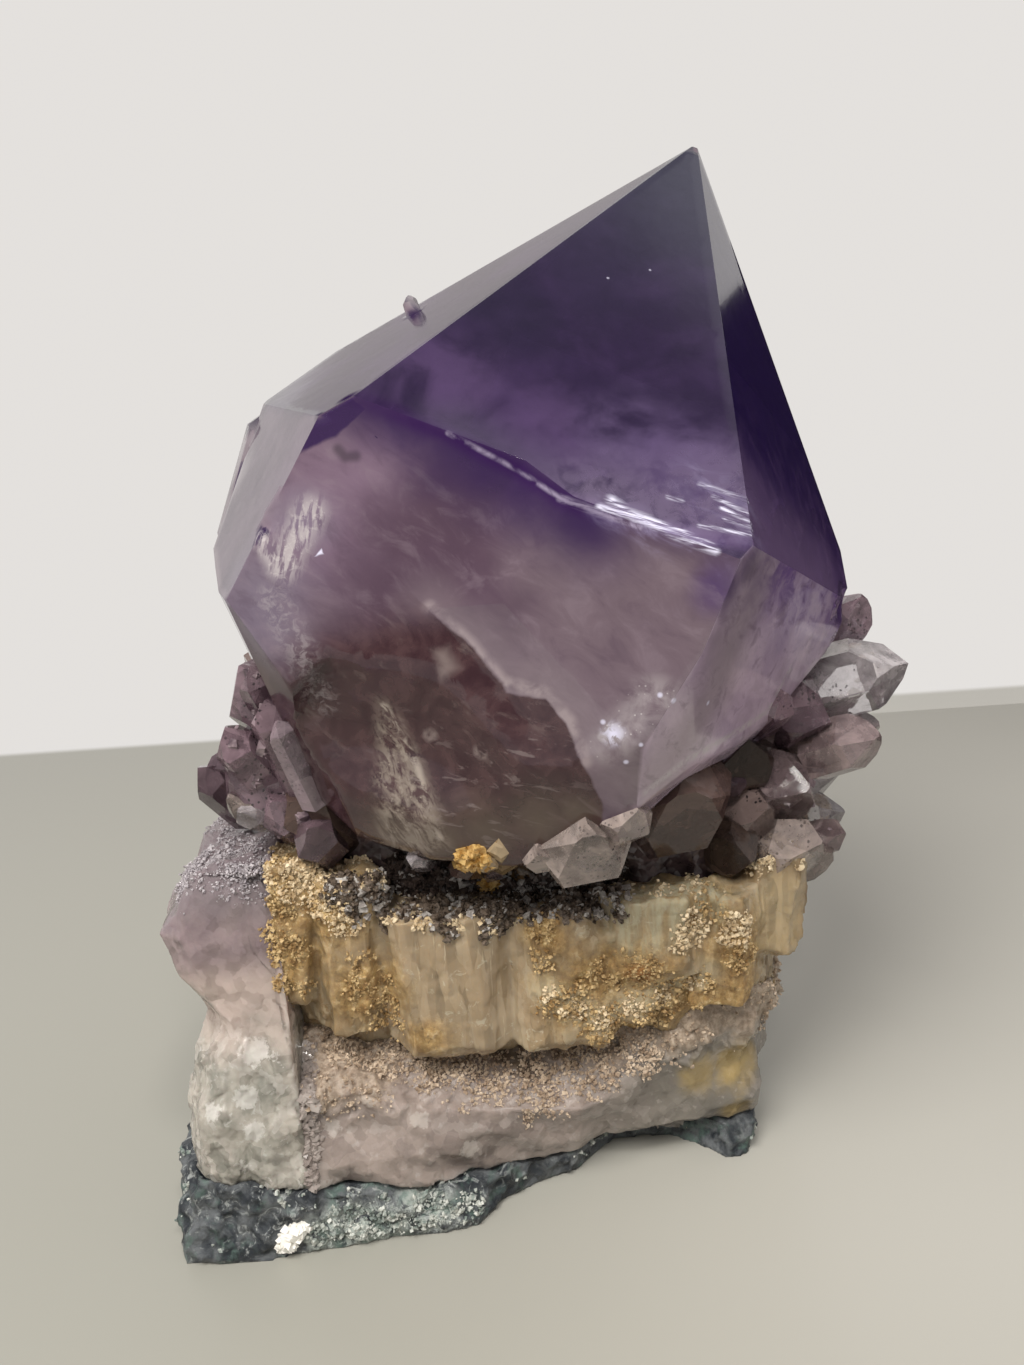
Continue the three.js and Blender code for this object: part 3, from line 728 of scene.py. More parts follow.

# Painted silver shine on fractures along the front edge, painted glints, and a small star at the lower right.
SHORT_STREAKS = (
    ((668, 497), (682, 500)), ((700, 484), (748, 501)), ((714, 497), (748, 513)),
    ((722, 508), (751, 524)), ((700, 526), (752, 535)), ((725, 519), (752, 529)),
)
GLINTS = (
    (660, 695, 0.35), (674, 701, 0.4), (626, 762, 0.35), (708, 703, 0.35), (641, 745, 0.3), (603, 722, 0.35),
)
# Painted reflections on the fractures, and painted glints, laid into the colour.
painted_shine = greatest([
    line((612, 500), (626, 512), (648, 520), reach=0.75) * streak.rise(0.42, 0.6),
    line((600, 507), (650, 523), (682, 538), (716, 551), reach=0.5) * streak.rise(0.38, 0.6),
    line((645, 517), (680, 530), (712, 545), reach=0.35) * streak.rise(0.4, 0.6),
    amethyst.near_bends(SHORT_STREAKS, 0.34, 1.0) * streak.rise(0.38, 0.62),
    patch((608, 278, 0.22), (650, 270, 0.2), soft_edge=0.5, wobble=None) * 0.6,
    patch(*GLINTS, soft_edge=0.6, wobble=None) * 0.8,
    patch((613, 734, 1.3), soft_edge=1.0) * crumbs.rise(0.4, 0.56),
    inside((315, 555), (322, 549), (324, 554), (315, 555), soft_edge=0.15) * front,
])
feather = line((606, 508), (660, 534), (716, 554), reach=2.0)
feather = feather.most(line((704, 482), (750, 522), reach=3.5) * 0.8) * strokes.rise(0.42, 0.68)
nicks = line(*EDGE_AT[1:5], reach=0.3) * strokes.rise(0.4, 0.6)
nicks = nicks.most(line((560, 498), (612, 517), reach=0.45) * streak.rise(0.3, 0.6))

# Pale veils: a fan on the left and a line below it, the star's arm, and the frayed lower right edge.
# The fan is a fracture with painted shine, the star has painted glints, the frayed edge a painted highlight.
fan = line((283, 566), (297, 537), (310, 512), reach=2.0)
fan = fan.most(line((280, 572), (270, 556), (262, 538), reach=1.2))
star_arm = line((655, 700), (612, 745), reach=2.8, soft_edge=0.8, wobble=soft)
below_fan = line((272, 600), (300, 650), (322, 700), reach=2.2, soft_edge=0.8, wobble=soft)
hem = line((646, 792), (686, 760), (738, 731), (768, 711), (792, 665), reach=0.6)
veil = greatest([
    fan * (rays.rise(0.42, 0.56) * 0.85 + crumbs.rise(0.5, 0.62) * 0.5 + sparkle * 0.5),
    star_arm * (fine_haze.rise(0.3, 0.65) * 0.5 + sparkle * 0.8),
    patch((614, 733, 1.6), (603, 737, 0.9), soft_edge=0.6) * (fine_haze * 1.3 + sparkle * 1.5),
    below_fan * crumbs.rise(0.45, 0.65) * 0.35,
    hem * crumbs.rise(0.38, 0.58) * 0.8,
])

# All of it together, from the tip and the sides to the painted shine on top.
under_edge = greatest([
    line((346, 398), (448, 437), reach=4.5, wobble=soft),
    line((448, 437), (520, 472), (590, 515), reach=6.5, wobble=soft),
    line((590, 515), (735, 548), reach=2.2, wobble=soft) * 0.6,
    inside((306, 412), (349, 393), (368, 409), (338, 437), (313, 447)),
])
rim_glow = line(*WINDOW_RIM, reach=4, wobble=soft) * outside
rim_line = line(*WINDOW_RIM, reach=1.0, soft_edge=0.8, wobble=soft) * outside * fine_haze.rise(0.3, 0.6)
bud = patch((415, 298, 1.9), soft_edge=0.6, wobble=None)
twin = patch((244, 446, 4), (240, 475, 3.5), soft_edge=1.0)
body = amethyst.layers(
    amethyst.mix(tips, lilac, deep),
    ((from_tip + (haze - 0.5) * 40).rise(105, 40) * behind * 0.9, (0.05, 0.022, 0.085)),
    (under_edge * front * 0.96, (0.026, 0.009, 0.056)),
    (window, mauve),
    (rim_glow * 0.5, (0.2, 0.155, 0.172)),
    (rim_line * 0.7, (0.33, 0.27, 0.28)),
    (feather * 0.5, (0.3, 0.26, 0.42)),
    (nicks * 0.6, (0.36, 0.31, 0.42)),
    (veil.least(1.0), (0.42, 0.38, 0.39)),
    (bud.most(twin * 0.7) * 0.9, (0.3, 0.27, 0.29)),
    (painted_shine, (0.64, 0.62, 0.77)),
)
milk = 0.86 - tips * 0.2 - window * 0.04 + (fine_haze - 0.5) * 0.25
milk = milk.most(painted_shine).rise(0.0, 1.0)
worn = greatest([line(*EDGE_AT, reach=1.3, soft_edge=0.8), fan, left_side])
relief = amethyst.bump(amethyst.noise(9, 3.0, 0.5, 0.8), 0.1, 0.3)
cloudy = amethyst.principled(base_color=body, roughness=0.1, ior=QUARTZ_IOR, normal=relief)
dull = amethyst.principled(
    base_color=body, roughness=0.5, ior=QUARTZ_IOR, specular_ior_level=0.0, normal=relief
)
clear = amethyst.principled(
    base_color=(0.62, 0.5, 0.78), roughness=0.04, ior=QUARTZ_IOR, transmission_weight=1.0, normal=relief
)
soak = amethyst.add("VolumeAbsorption", {}, {"Color": (0.42, 0.2, 0.62, 1), "Density": 26.0}).outputs[0]
amethyst_look = amethyst.done(amethyst.blend(worn, amethyst.blend(milk, clear, cloudy), dull), soak)

point = piece_from("amethyst_point_grown", mesh, amethyst_look)
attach(point, "root")
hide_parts("amethyst_point")

# The druse
# Small quartz crystals, clear to smoky and speckled with black, on a dark granular bed round the foot of the
# point. The bed is one body, and the crystals of one kind are joined in one piece.

BED = (
    ((-45, -22, 57), (-26, -29, 57), (-6, -29, 57), (14, -29, 57), (32, -28, 57), (46, -14, 57),
     (48, 14, 57), (34, 36, 57), (8, 42, 57), (-20, 40, 57), (-42, 28, 57), (-50, 2, 57)),
    ((-45, -24, 76), (-26, -27, 72), (-6, -29, 68), (14, -29, 67), (34, -27, 68), (48, -14, 72),
     (50, 14, 72), (36, 37, 72), (8, 43, 72), (-20, 41, 72), (-44, 28, 74), (-51, 2, 77)),
    ((-42, -26, 98), (-28, -25, 84), (-8, -24, 80), (16, -25, 80), (38, -22, 86), (52, -12, 94),
     (53, 12, 92), (36, 34, 88), (8, 40, 85), (-20, 38, 86), (-42, 24, 94), (-48, -4, 102)),
)
SHOWN_CRYSTALS = (
    ("clear", (50, -2, 84), (73, -11, 92.5), 14, 20, 21),
    ("plum", (44, -4, 84), (55, -23, 86), 14, 24, 22),
    ("pink", (48, -2, 74), (69, -9, 79), 14, 35, 23),
    ("pink", (42, -8, 70), (50, -27, 74), 14.5, 0, 24),
    ("speckled", (34, -12, 62), (42, -29, 73), 14, 25, 25),
    ("pale", (36, -14, 59), (56, -23, 60), 14, 5, 26),
    ("clear", (48, -8, 61), (61, -14, 64), 9, 15, 27),
    ("clear", (48, -2, 67), (61, -10, 71), 10, 40, 28),
    ("speckled", (46, -10, 78), (59, -23, 80), 9, 25, 44),
    ("brown", (32, -16, 66), (38, -34, 65), 10, 50, 45),
    ("plum", (58, 6, 86), (68, 0, 103), 11, 12, 29),
    ("grey", (24, -18, 72), (25, -43, 84), 21, 8, 30),
    ("plum", (-38, -12, 86), (-46.5, -30, 105), 14, 18, 31),
    ("plum", (-40, -14, 74), (-50, -33, 91), 16, 30, 32),
    ("smoky", (-46, -2, 70), (-58.5, -18, 83), 14, 0, 33),
    ("lilac", (-34, -22, 76), (-38.5, -38, 96), 8.5, 10, 34),
    ("pale", (-44, -24, 76), (-51, -33, 83.5), 6, 0, 35),
    ("grey", (-34, -20, 70), (-40, -35, 83), 11, 22, 36),
    ("clear", (7, -30, 70), (12, -47, 80), 11, 5, 37),
    ("clear", (-1, -30, 69), (3, -46, 76), 7, 33, 38),
    ("pink", (-7, -30, 66), (-6, -44.5, 77), 5.5, 12, 39),
    ("grey", (-10, -29, 66), (-12, -43, 73), 5, 40, 40),
    ("pink", (-18, -26, 66), (-19, -42, 74), 4, 0, 41),
)
HIDDEN_ROWS = (
    dict(start=100, end=238, count=9, height=84, rise=11, reach=13, width=15, seed=51),
    dict(start=93, end=248, count=10, height=73, rise=4, reach=13, width=14, seed=52),
    dict(start=96, end=258, count=10, height=65, rise=-1, reach=10, width=11, seed=53),
)


def dice(seed):
    """The same run of random numbers that sizes the crystals of the solid druse."""
    whole = 0xFFFFFFFF
    state = seed

    def roll(low, high):
        nonlocal state
        state = (state + 0x6D2B79F5) & whole
        t = ((state ^ (state >> 15)) * (1 | state)) & whole
        t = ((t + ((t ^ (t >> 7)) * (61 | t))) & whole) ^ t
        return low + (high - low) * ((t ^ (t >> 14)) & whole) / 4294967296

    return roll


def flat_faced(bm, faces, place):
    """Adds the body bounded by flat faces to bm, each face given as (normal, distance in mm)."""
    normals = np.array([n for n, _ in faces])
    reach = np.array([d for _, d in faces])
    k = len(faces)
    triples = np.array([(a, b, c) for a in range(k) for b in range(a) for c in range(b)])
    corners = normals[triples]
    good = np.abs(np.linalg.det(corners)) > 1e-5
    meets = np.linalg.solve(corners[good], reach[triples[good]][:, :, None])[:, :, 0]
    meets = meets[(meets @ normals.T <= reach + 1e-6).all(axis=1)]
    meets = np.unique(meets.round(4), axis=0)
    verts = [bm.verts.new(place @ Vector(corner) * MM) for corner in meets]
    bmesh.ops.convex_hull(bm, input=verts)
    loose = [v for v in verts if v.is_valid and not v.link_faces]
    bmesh.ops.delete(bm, geom=loose, context="VERTS")


def quartz_crystal(bm, root, tip, width, twist, seed):
    """Adds a six-sided crystal to bm, from its root to its tip."""
    roll = dice(seed)
    root, tip = Vector(root), Vector(tip)
    length = (tip - root).length
    faces = []
    for k in range(6):
        tilt = roll(0, 3)
        faces.append((outward(60 * k, tilt), width / 2 * roll(0.82, 1.12)))
    tip_reach = length * math.sin(math.radians(RHOMB_SLOPE))
    for k in range(6):
        late = roll(0.05, 0.16) * width if k % 2 else roll(-0.02, 0.05) * width
        faces.append((outward(60 * k, RHOMB_SLOPE), tip_reach + late))
    faces.append((Vector((0, 0, -1)), 0))
    faces.append((Vector((0, 0, 1)), length))
    swing = Vector((0, 0, 1)).rotation_difference((tip - root).normalized()).to_matrix()
    swing = swing @ Matrix.Rotation(math.radians(twist), 3, "Z")
    flat_faced(bm, faces, Matrix.Translation(root + CENTRING) @ swing.to_4x4())


BED_MIDDLE = (1, 4)
BED_REACH = (51, 39)


def bed_edge(around, inset):
    """A place near the edge of the bed, inset mm inside it."""
    a = math.radians(around - 90)
    x = BED_MIDDLE[0] + (BED_REACH[0] - inset) * math.cos(a)
    y = BED_MIDDLE[1] + (BED_REACH[1] - inset) * math.sin(a)
    return x, y


crystals = list(SHOWN_CRYSTALS)
KINDS = ("smoky", "grey", "pink", "speckled", "clear", "plum", "smoky")
for row in HIDDEN_ROWS:
    roll = dice(row["seed"])
    for i in range(row["count"]):
        around = row["start"] + (row["end"] - row["start"]) * (i + roll(-0.25, 0.25)) / (row["count"] - 1)
        size = roll(0.75, 1.2)
        x, y = bed_edge(around, 7)
        root = (x, y, row["height"] + roll(-3, 3))
        length = row["reach"] * size + 7
        lift = row["rise"] * size + roll(-3, 3)
        a = math.radians(around - 90 + roll(-14, 14))
        tip = (x + length * math.cos(a), y + length * math.sin(a), root[2] + lift)
        kind = KINDS[(3 * i + row["seed"]) % len(KINDS)]
        crystals.append((kind, root, tip, row["width"] * size, roll(0, 60), row["seed"] + 7 * i))

# Smaller crystals fill the gaps all round, and more of them the bare slope on the left.
FILLERS = 130
LEFT_FILLERS = 40
FILLER_KINDS = ("smoky", "plum", "smoky", "plum", "speckled")
roll = dice(71)


def filler(i, foot, heading, length, level, sunk, width, seed):
    """A small crystal with its foot on the bed and its root sunk mm behind it."""
    a = math.radians(heading)
    x, y, height = foot
    ends = [(x + far * math.cos(a), y + far * math.sin(a), height + far * level) for far in (-sunk, length)]
    crystals.append((FILLER_KINDS[i % len(FILLER_KINDS)], *ends, width, roll(0, 60), seed))


for i in range(FILLERS):
    around = 360 * (i + roll(-0.4, 0.4)) / FILLERS
    height = roll(61, 88)
    foot = (*bed_edge(around, roll(1, 5)), height)
    in_front = abs((around + 180) % 360 - 180) < 48
    if in_front and height < 74:
        continue
    heading = around - 90 + roll(-30, 30)
    filler(i, foot, heading, roll(5, 8.5), roll(0.1, 0.85), 3, roll(2.6, 6.2), 400 + i)
for i in range(LEFT_FILLERS):
    around = 238 + 56 * (i + roll(-0.5, 0.5)) / LEFT_FILLERS
    height = 80 + 21 * ((i * 7) % 10 + roll(0, 1)) / 10
    foot = (*bed_edge(around, roll(2, 4)), height)
    heading = around - 90 + roll(-25, 25)
    filler(i, foot, heading, roll(4, 7), roll(0.3, 1.0), 4, roll(6, 10), 600 + i)

SMALL_CRYSTALS = (  # kind, where it is seen, from there to its root and to its tip, width, twist, seed
    ("pale", (582, 836), (0, 7, -3), (1, -3, 2), 15.5, 10, 61),
    ("pale", (612, 825), (0, 7, -3), (4, -2, 3), 9, 25, 62),
    ("pale", (550, 850), (0, 7, -3), (-2, -2, 0), 7.5, 0, 63),
    ("tan", (504, 856), (0, 7, -3), (0, -1, 5), 6.5, 30, 64),
    ("tan", (493, 862), (0, 7, -3), (-1, -1, 1), 4, 10, 65),
    ("clear", (418, 864), (0, 7, -3), (0, -2, 2), 4, 0, 69),
    ("plum", (264, 702), (2, 5, -9), (-1, -2, 7), 7, 20, 81),
    ("plum", (280, 742), (2, 5, -9), (-1, -2, 8), 7, 5, 82),
    ("lilac", (294, 762), (2, 5, -9), (-1, -2, 8), 5, 35, 83),
    ("plum", (243, 758), (3, 6, -8), (-2, -1, 6), 8, 15, 84),
    ("smoky", (219, 790), (4, 6, -7), (-3, -1, 5), 8, 30, 85),
    ("clear", (248, 818), (2, 4, -2), (-1, -2, 2), 4.5, 10, 86),
    ("plum", (284, 814), (2, 6, -5), (-1, -3, 4), 9, 25, 87),
    ("smoky", (312, 838), (1, 6, -4), (0, -3, 3), 8, 40, 88),
    ("brown", (736, 762), (-2, 6, -5), (1, -5, 6), 14, 15, 89),
    ("pale", (788, 848), (-4, 6, -3), (5, -3, 2), 12, 20, 90),
    ("pink", (825, 838), (-3, 5, -3), (3, -2, 2), 7, 10, 91),
    ("pink", (850, 745), (-5, 5, -3), (4, -3, 3), 10, 30, 92),
    ("plum", (775, 712), (-2, 6, -4), (1, -2, 4), 7, 30, 93),
)
for kind, seen_at, back, forward, width, twist, seed in SMALL_CRYSTALS:
    place = spot(*seen_at) - CENTRING
    crystals.append((kind, place + Vector(back), place + Vector(forward), width, twist, seed))


def small_quartz(name, tint, haze_low, haze_high, milk, specks, shine, broken):
    """Glassy quartz: clear with a tint, hazed by clouds, and peppered with black inclusions."""
    shade = Shade(name)
    cloud = shade.noise(4.5, 5.0, 0.6, 0.6)
    veil = shade.noise(2.2, 4.0, 0.65, 1.2)
    _, own = shade.cells(11)
    face = shade.of_face()
    distance, _ = shade.cells(0.9, at=shade.stirred(2, 0.5))
    pepper = distance.rise(0.34, 0.2) * shade.noise(4, 3.0).rise(0.45, 0.6) * specks
    tone = shade.layers(
        shade.mix((cloud * 0.6 + own * 0.5).rise(0.3, 0.8), haze_low, haze_high),
        # Painted reflections: each flat face is made darker or paler at random.
        (face.rise(0.45, 0.0) * 0.45, tuple(0.55 * part for part in haze_low)),
        (face.rise(0.6, 1.0) * 0.5, tuple(1.25 * part for part in haze_high)),
        (veil.rise(0.58, 0.7) * 0.35, tuple(1.5 * part for part in haze_high)),
        (pepper, (0.012, 0.01, 0.012)),
    )
    amount = (milk + (cloud - 0.5) * 0.7).most(pepper).rise(0.0, 1.0)
    uneven = shade.facet_normal(2.2, broken, shade.stirred(2, 0.8))
    relief = shade.bump(shade.noise(2.6, 2.0) + shade.noise(0.8, 2.0) * 0.2, 0.05, 0.4, uneven)
    cloudy = shade.principled(
        base_color=tone, roughness=0.12, ior=QUARTZ_IOR, specular_ior_level=shine, normal=relief
    )
    clear = shade.principled(
        base_color=tint, roughness=0.04, ior=QUARTZ_IOR, transmission_weight=1.0, normal=relief
    )
    return shade.done(shade.blend(amount, clear, cloudy))


DRUSE_LOOKS = (  # kind, tint, darker and paler haze, milkiness, black specks, shine, how uneven the faces are
    ("clear", (0.95, 0.93, 0.95), (0.47, 0.42, 0.44), (0.75, 0.69, 0.71), 0.38, 0.8, 0.5, 0.03),
    ("smoky", (0.74, 0.6, 0.68), (0.062, 0.037, 0.047), (0.155, 0.104, 0.122), 0.6, 0.3, 0.4, 0.03),
    ("brown", (0.5, 0.4, 0.38), (0.028, 0.017, 0.014), (0.075, 0.05, 0.04), 0.85, 0.2, 0.2, 0.03),
    ("plum", (0.78, 0.63, 0.76), (0.115, 0.07, 0.088), (0.27, 0.185, 0.215), 0.62, 0.9, 0.5, 0.1),
    ("pink", (0.95, 0.86, 0.88), (0.2, 0.145, 0.15), (0.44, 0.34, 0.335), 0.52, 0.25, 0.5, 0.03),
    ("speckled", (0.86, 0.78, 0.78), (0.11, 0.075, 0.07), (0.27, 0.2, 0.185), 0.62, 1.0, 0.5, 0.03),
    ("grey", (0.72, 0.58, 0.55), (0.05, 0.029, 0.025), (0.13, 0.084, 0.072), 0.76, 0.2, 0.3, 0.03),
    ("lilac", (0.88, 0.78, 0.88), (0.22, 0.165, 0.19), (0.4, 0.31, 0.345), 0.6, 0.3, 0.5, 0.08),
    ("pale", (0.97, 0.93, 0.91), (0.21, 0.165, 0.15), (0.45, 0.37, 0.335), 0.54, 0.75, 0.5, 0.12),
    ("tan", (0.95, 0.85, 0.7), (0.22, 0.15, 0.08), (0.36, 0.27, 0.165), 0.85, 0.0, 0.5, 0.2),
)
CRYSTAL_WORN = 0.2
SHORTEST_WORN = 1.2
druse_pieces = []
for kind, *parts_of_look in DRUSE_LOOKS:
    bm = bmesh.new()
    for own_kind, *measures in crystals:
        if own_kind == kind:
            quartz_crystal(bm, *measures)
    bmesh.ops.recalc_face_normals(bm, faces=bm.faces)
    bmesh.ops.dissolve_limit(bm, angle_limit=math.radians(1), verts=bm.verts, edges=bm.edges)
    edges = [e for e in bm.edges if len(e.link_faces) == 2 and e.calc_length() > SHORTEST_WORN * MM]
    wear_down(bm, edges, CRYSTAL_WORN, 1)
    mesh = bpy.data.meshes.new("druse_" + kind)
    bm.to_mesh(mesh)
    bm.free()
    piece = piece_from("druse_" + kind, mesh, small_quartz(kind + "_quartz", *parts_of_look))
    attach(piece, "root")
    druse_pieces.append(piece)


def smooth_ring(corners, steps):
    """A closed smooth curve through the corners, as evenly many points per side."""
    corners = np.array(corners, dtype=float)
    k = len(corners)
    ring = []
    for i in range(steps):
        t = i * k / steps
        j = int(t)
        f = t - j
        a, b, c, d = (corners[(j + m) % k] for m in (-1, 0, 1, 2))
        bend = 2 * b + (c - a) * f + (2 * a - 5 * b + 4 * c - d) * f**2 + (3 * b - a - 3 * c + d) * f**3
        ring.append(0.5 * bend)
    return np.array(ring)


def remeshed(bm, name, voxel):
    """The same body with an even fine net over it, voxel mm wide."""
    mesh = bpy.data.meshes.new(name)
    bm.to_mesh(mesh)
    bm.free()
    helper = bpy.data.objects.new(name + "_coarse", mesh)
    bpy.context.scene.collection.objects.link(helper)
    net = helper.modifiers.new("net", "REMESH")
    net.mode = "VOXEL"
    net.voxel_size = voxel * MM
    graph = bpy.context.evaluated_depsgraph_get()
    fine = bpy.data.meshes.new_from_object(helper.evaluated_get(graph))
    bpy.data.objects.remove(helper)
    bpy.data.meshes.remove(mesh)
    fine.name = name
    fine.shade_smooth()
    return fine


RING_STEPS = 60
rings = [smooth_ring(level, RING_STEPS) + np.array(CENTRING) for level in BED]
bm = bmesh.new()
loops = [[bm.verts.new(Vector(co) * MM) for co in ring] for ring in rings]
for lower, upper in zip(loops, loops[1:]):
    for i in range(RING_STEPS):
        j = (i + 1) % RING_STEPS
        bm.faces.new((lower[i], lower[j], upper[j], upper[i]))
bm.faces.new(loops[0][::-1])
bm.faces.new(loops[-1])
bmesh.ops.recalc_face_normals(bm, faces=bm.faces)
bmesh.ops.triangulate(bm, faces=bm.faces)
mesh = remeshed(bm, "druse_bed", 0.8)
p, n = read_points(mesh)
p += n * (1.1 * wander(p, 4, 11) + 1.6 * scoops(p, 3.2, 12) - 0.9)[:, None]
write_points(mesh, p)

shade = Shade("druse_bed")
_, chosen = shade.cells(1.3)
grit_spots = [(px, 893, 9) for px in (360, 420, 480, 540, 600)]
amber_spots = [(px, 885, 4) for px in (520, 560, 590)]
grit = shade.mix(chosen.rise(0.35, 0.8), (0.016, 0.011, 0.01), (0.085, 0.062, 0.05))
ground = shade.layers(
    shade.mix(shade.noise(4, 4.0).rise(0.35, 0.65), (0.05, 0.033, 0.036), (0.13, 0.092, 0.092)),
    (shade.near_spots(grit_spots, 0.4, shade.noise(4, 2.0) * 0.5 + 0.25), grit),
    (shade.near_spots(amber_spots, 0.6, shade.noise(3, 2.0) * 0.5 + 0.25) * 0.8, (0.13, 0.075, 0.03)),
)
relief = shade.bump(shade.noise(0.7, 3.0), 0.25, 0.6, shade.facet_normal(1.4, 0.45))
bed_look = shade.done(shade.principled(base_color=ground, roughness=0.22, ior=QUARTZ_IOR, normal=relief))
bed = piece_from("druse_bed", mesh, bed_look)
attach(bed, "root")
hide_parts("amethyst_druse")

GRAIN = np.array([(x, y, z) for x in (-1, 1) for y in (-1, 1) for z in (-1, 1)], dtype=float)
GRAIN_FACES = ((0, 1, 3, 2), (4, 6, 7, 5), (0, 4, 5, 1), (2, 3, 7, 6), (0, 2, 6, 4), (1, 5, 7, 3))


def round_spots(p, *places):
    """1 for the points inside reach of one of the places seen in the picture, falling to 0 just beyond."""
    best = np.zeros(len(p))
    for px, py, reach in places:
        away = np.linalg.norm(p - np.array(spot(px, py)), axis=1)
        best = np.maximum(best, ease(away + 0.3 * reach * wander(p, 2.5, 61), 1.15 * reach, 0.75 * reach))
    return best


def scattered(name, host, count, sizes, share, material, seed, sink=0.45):
    """Angular grains grown on a host where share(p) is above zero, joined in one piece."""
    mesh = host.data
    k = len(mesh.polygons)
    p = np.empty(k * 3)
    n = np.empty(k * 3)
    area = np.empty(k)
    mesh.polygons.foreach_get("center", p)
    mesh.polygons.foreach_get("normal", n)
    mesh.polygons.foreach_get("area", area)
    p = p.reshape(-1, 3) / MM
    n = n.reshape(-1, 3)
    weight = area * share(p)
    weight[p[:, 2] < 1.5] = 0  # the foot that it stands on stays bare
    random = np.random.default_rng(seed)
    at = random.choice(k, count, p=weight / weight.sum())
    size = sizes[0] + (sizes[1] - sizes[0]) * random.random(count) ** 2
    middle = p[at] + random.normal(0, 0.3, (count, 3)) + n[at] * (size * (0.5 - sink))[:, None]
    turn, _ = np.linalg.qr(random.normal(size=(count, 3, 3)))
    body = GRAIN[None] * (1 + random.uniform(-0.45, 0.3, (count, 8, 3)))
    body = body * random.uniform(0.6, 1.2, (count, 1, 3)) * size[:, None, None] / 2
    corners = middle[:, None] + np.einsum("nij,nkj->nki", turn, body)
    flip = np.linalg.det(turn) < 0
    faces = []
    for i in range(count):
        for face in GRAIN_FACES:
            corner = [8 * i + c for c in face]
            faces.append(corner[::-1] if flip[i] else corner)
    grains = bpy.data.meshes.new(name)
    grains.from_pydata((corners.reshape(-1, 3) * MM).tolist(), [], faces)
    made = piece_from(name, grains, material)
    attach(made, "root")
    return made


def grain_look(name, low, high, roughness=0.3, size=1.3):
    """Crumbs of one mineral, from a darker to a paler tone."""
    shade = Shade(name)
    tone = shade.mix(shade.noise(size, 3.0, 0.7).rise(0.35, 0.65), low, high)
    return shade.done(shade.principled(base_color=tone, roughness=roughness, ior=1.5))


BED_LINE = ((355, 880, 6), (400, 893, 6), (450, 902, 6), (500, 900, 6), (550, 893, 6), (610, 888, 5))
# Black grit and quartz lumps along the bed's front, amber crumbs at the point's foot, and chips on the left.
black_look = grain_look("black_grit", (0.014, 0.01, 0.009), (0.09, 0.065, 0.055), 0.22)
scattered("bed_grit", bed, 5200, (0.4, 1.3), lambda p: round_spots(p, *BED_LINE), black_look, seed=3)
lump_look = grain_look("quartz_lumps", (0.2, 0.18, 0.17), (0.5, 0.47, 0.44), 0.15)
LUMP_SPOTS = (*BED_LINE, (270, 860, 8), (310, 868, 7))
scattered(
    "bed_quartz", bed, 420, (0.4, 1.5), lambda p: round_spots(p, *LUMP_SPOTS), lump_look, seed=4
)
AMBER_SPOTS = ((473, 858, 2.4), (464, 868, 2.2), (480, 870, 2), (470, 878, 2), (488, 884, 1.6))
amber_look = grain_look("amber_crumbs", (0.3, 0.15, 0.03), (0.6, 0.4, 0.15), 0.2, 1.6)


def amber_share(p):
    return round_spots(p, *AMBER_SPOTS)


scattered("amber_crumbs", point, 420, (0.5, 1.9), amber_share, amber_look, seed=14)
scattered("amber_foot", bed, 260, (0.5, 1.7), amber_share, amber_look, seed=15)
LEFT_SPOTS = (
    (262, 690, 5), (252, 740, 5), (258, 775, 7), (240, 800, 6), (215, 800, 5), (290, 760, 5), (285, 830, 5),
)
chip_look = grain_look("druse_chips", (0.09, 0.062, 0.075), (0.26, 0.2, 0.215), 0.12, 3.0)
for i, piece in enumerate(druse_pieces):
    if piece.name in ("druse_plum", "druse_pink", "druse_grey"):
        scattered(
            piece.name + "_chips", piece, 110, (0.4, 1.8), lambda p: round_spots(p, *LEFT_SPOTS) + 1e-6,
            chip_look, sink=0.7, seed=20 + i,
        )

# The honey-coloured band
# Waxy columns of honey-coloured quartz, grown side by side, with ochre grains in the gaps and on their tops.

SEAM_X = -44 + CENTRING.x
SEAM_GAP = 0.3


def rock(node, name, voxel, relief_of, material):
    """A finely netted copy of a node with broken relief, which stands for that node. The seam closes up."""
    mesh = remeshed(merged_copy(node), name, voxel)
    p, n = read_points(mesh)
    at_seam = ease(np.abs(n[:, 0]), 0.8, 0.95) * ease(np.abs(p[:, 0] - SEAM_X), 6, 3)
    p = p + n * (relief_of(p, n) * (1 - at_seam) + SEAM_GAP * at_seam)[:, None]
    write_points(mesh, p)
    made = piece_from(name, mesh, material)
    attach(made, "root")
    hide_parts(node)
    return made


BLOCK_MIDDLE = np.array(spot(442, 970))
BLOCK_HALF_WIDE = 13
OCHRE_SPOTS = (
    (262, 885, 6), (265, 915, 6), (272, 950, 6), (285, 985, 5), (330, 900, 4), (370, 990, 4.5), (358, 965, 4),
    (600, 985, 6), (640, 975, 5), (560, 1000, 4), (745, 955, 4), (690, 985, 5), (540, 925, 3.5),
    (545, 955, 3.5), (655, 1010, 5), (600, 1020, 5), (390, 1020, 4), (705, 905, 3.5),
)


def honey_relief(p, n):
    upright = p * np.array((1, 1, 0.16))
    block = ease(np.abs(p[:, 0] - BLOCK_MIDDLE[0]), BLOCK_HALF_WIDE + 3, BLOCK_HALF_WIDE)
    block = block * ease(p[:, 1], -10, -20)
    flutes = (1.5 - 1.2 * block) * scoops(upright, 4.5, 23)
    steps = 0.7 * block * np.floor(2.5 * (wander(upright * np.array((1, 1, 0.4)), 4, 26) + 1)) / 2.5
    broken = (0.8 - 0.4 * block) * scoops(p, 8, 25) + (0.25 - 0.1 * block) * facets(p, 2.2, 24)
    crusty = round_spots(p, *OCHRE_SPOTS) * (0.55 * scoops(p, 2.0, 27) + 0.35 * wander(p, 1.3, 28) - 0.2)
    return flutes + steps + broken + crusty - 0.9 + 0.1 * block


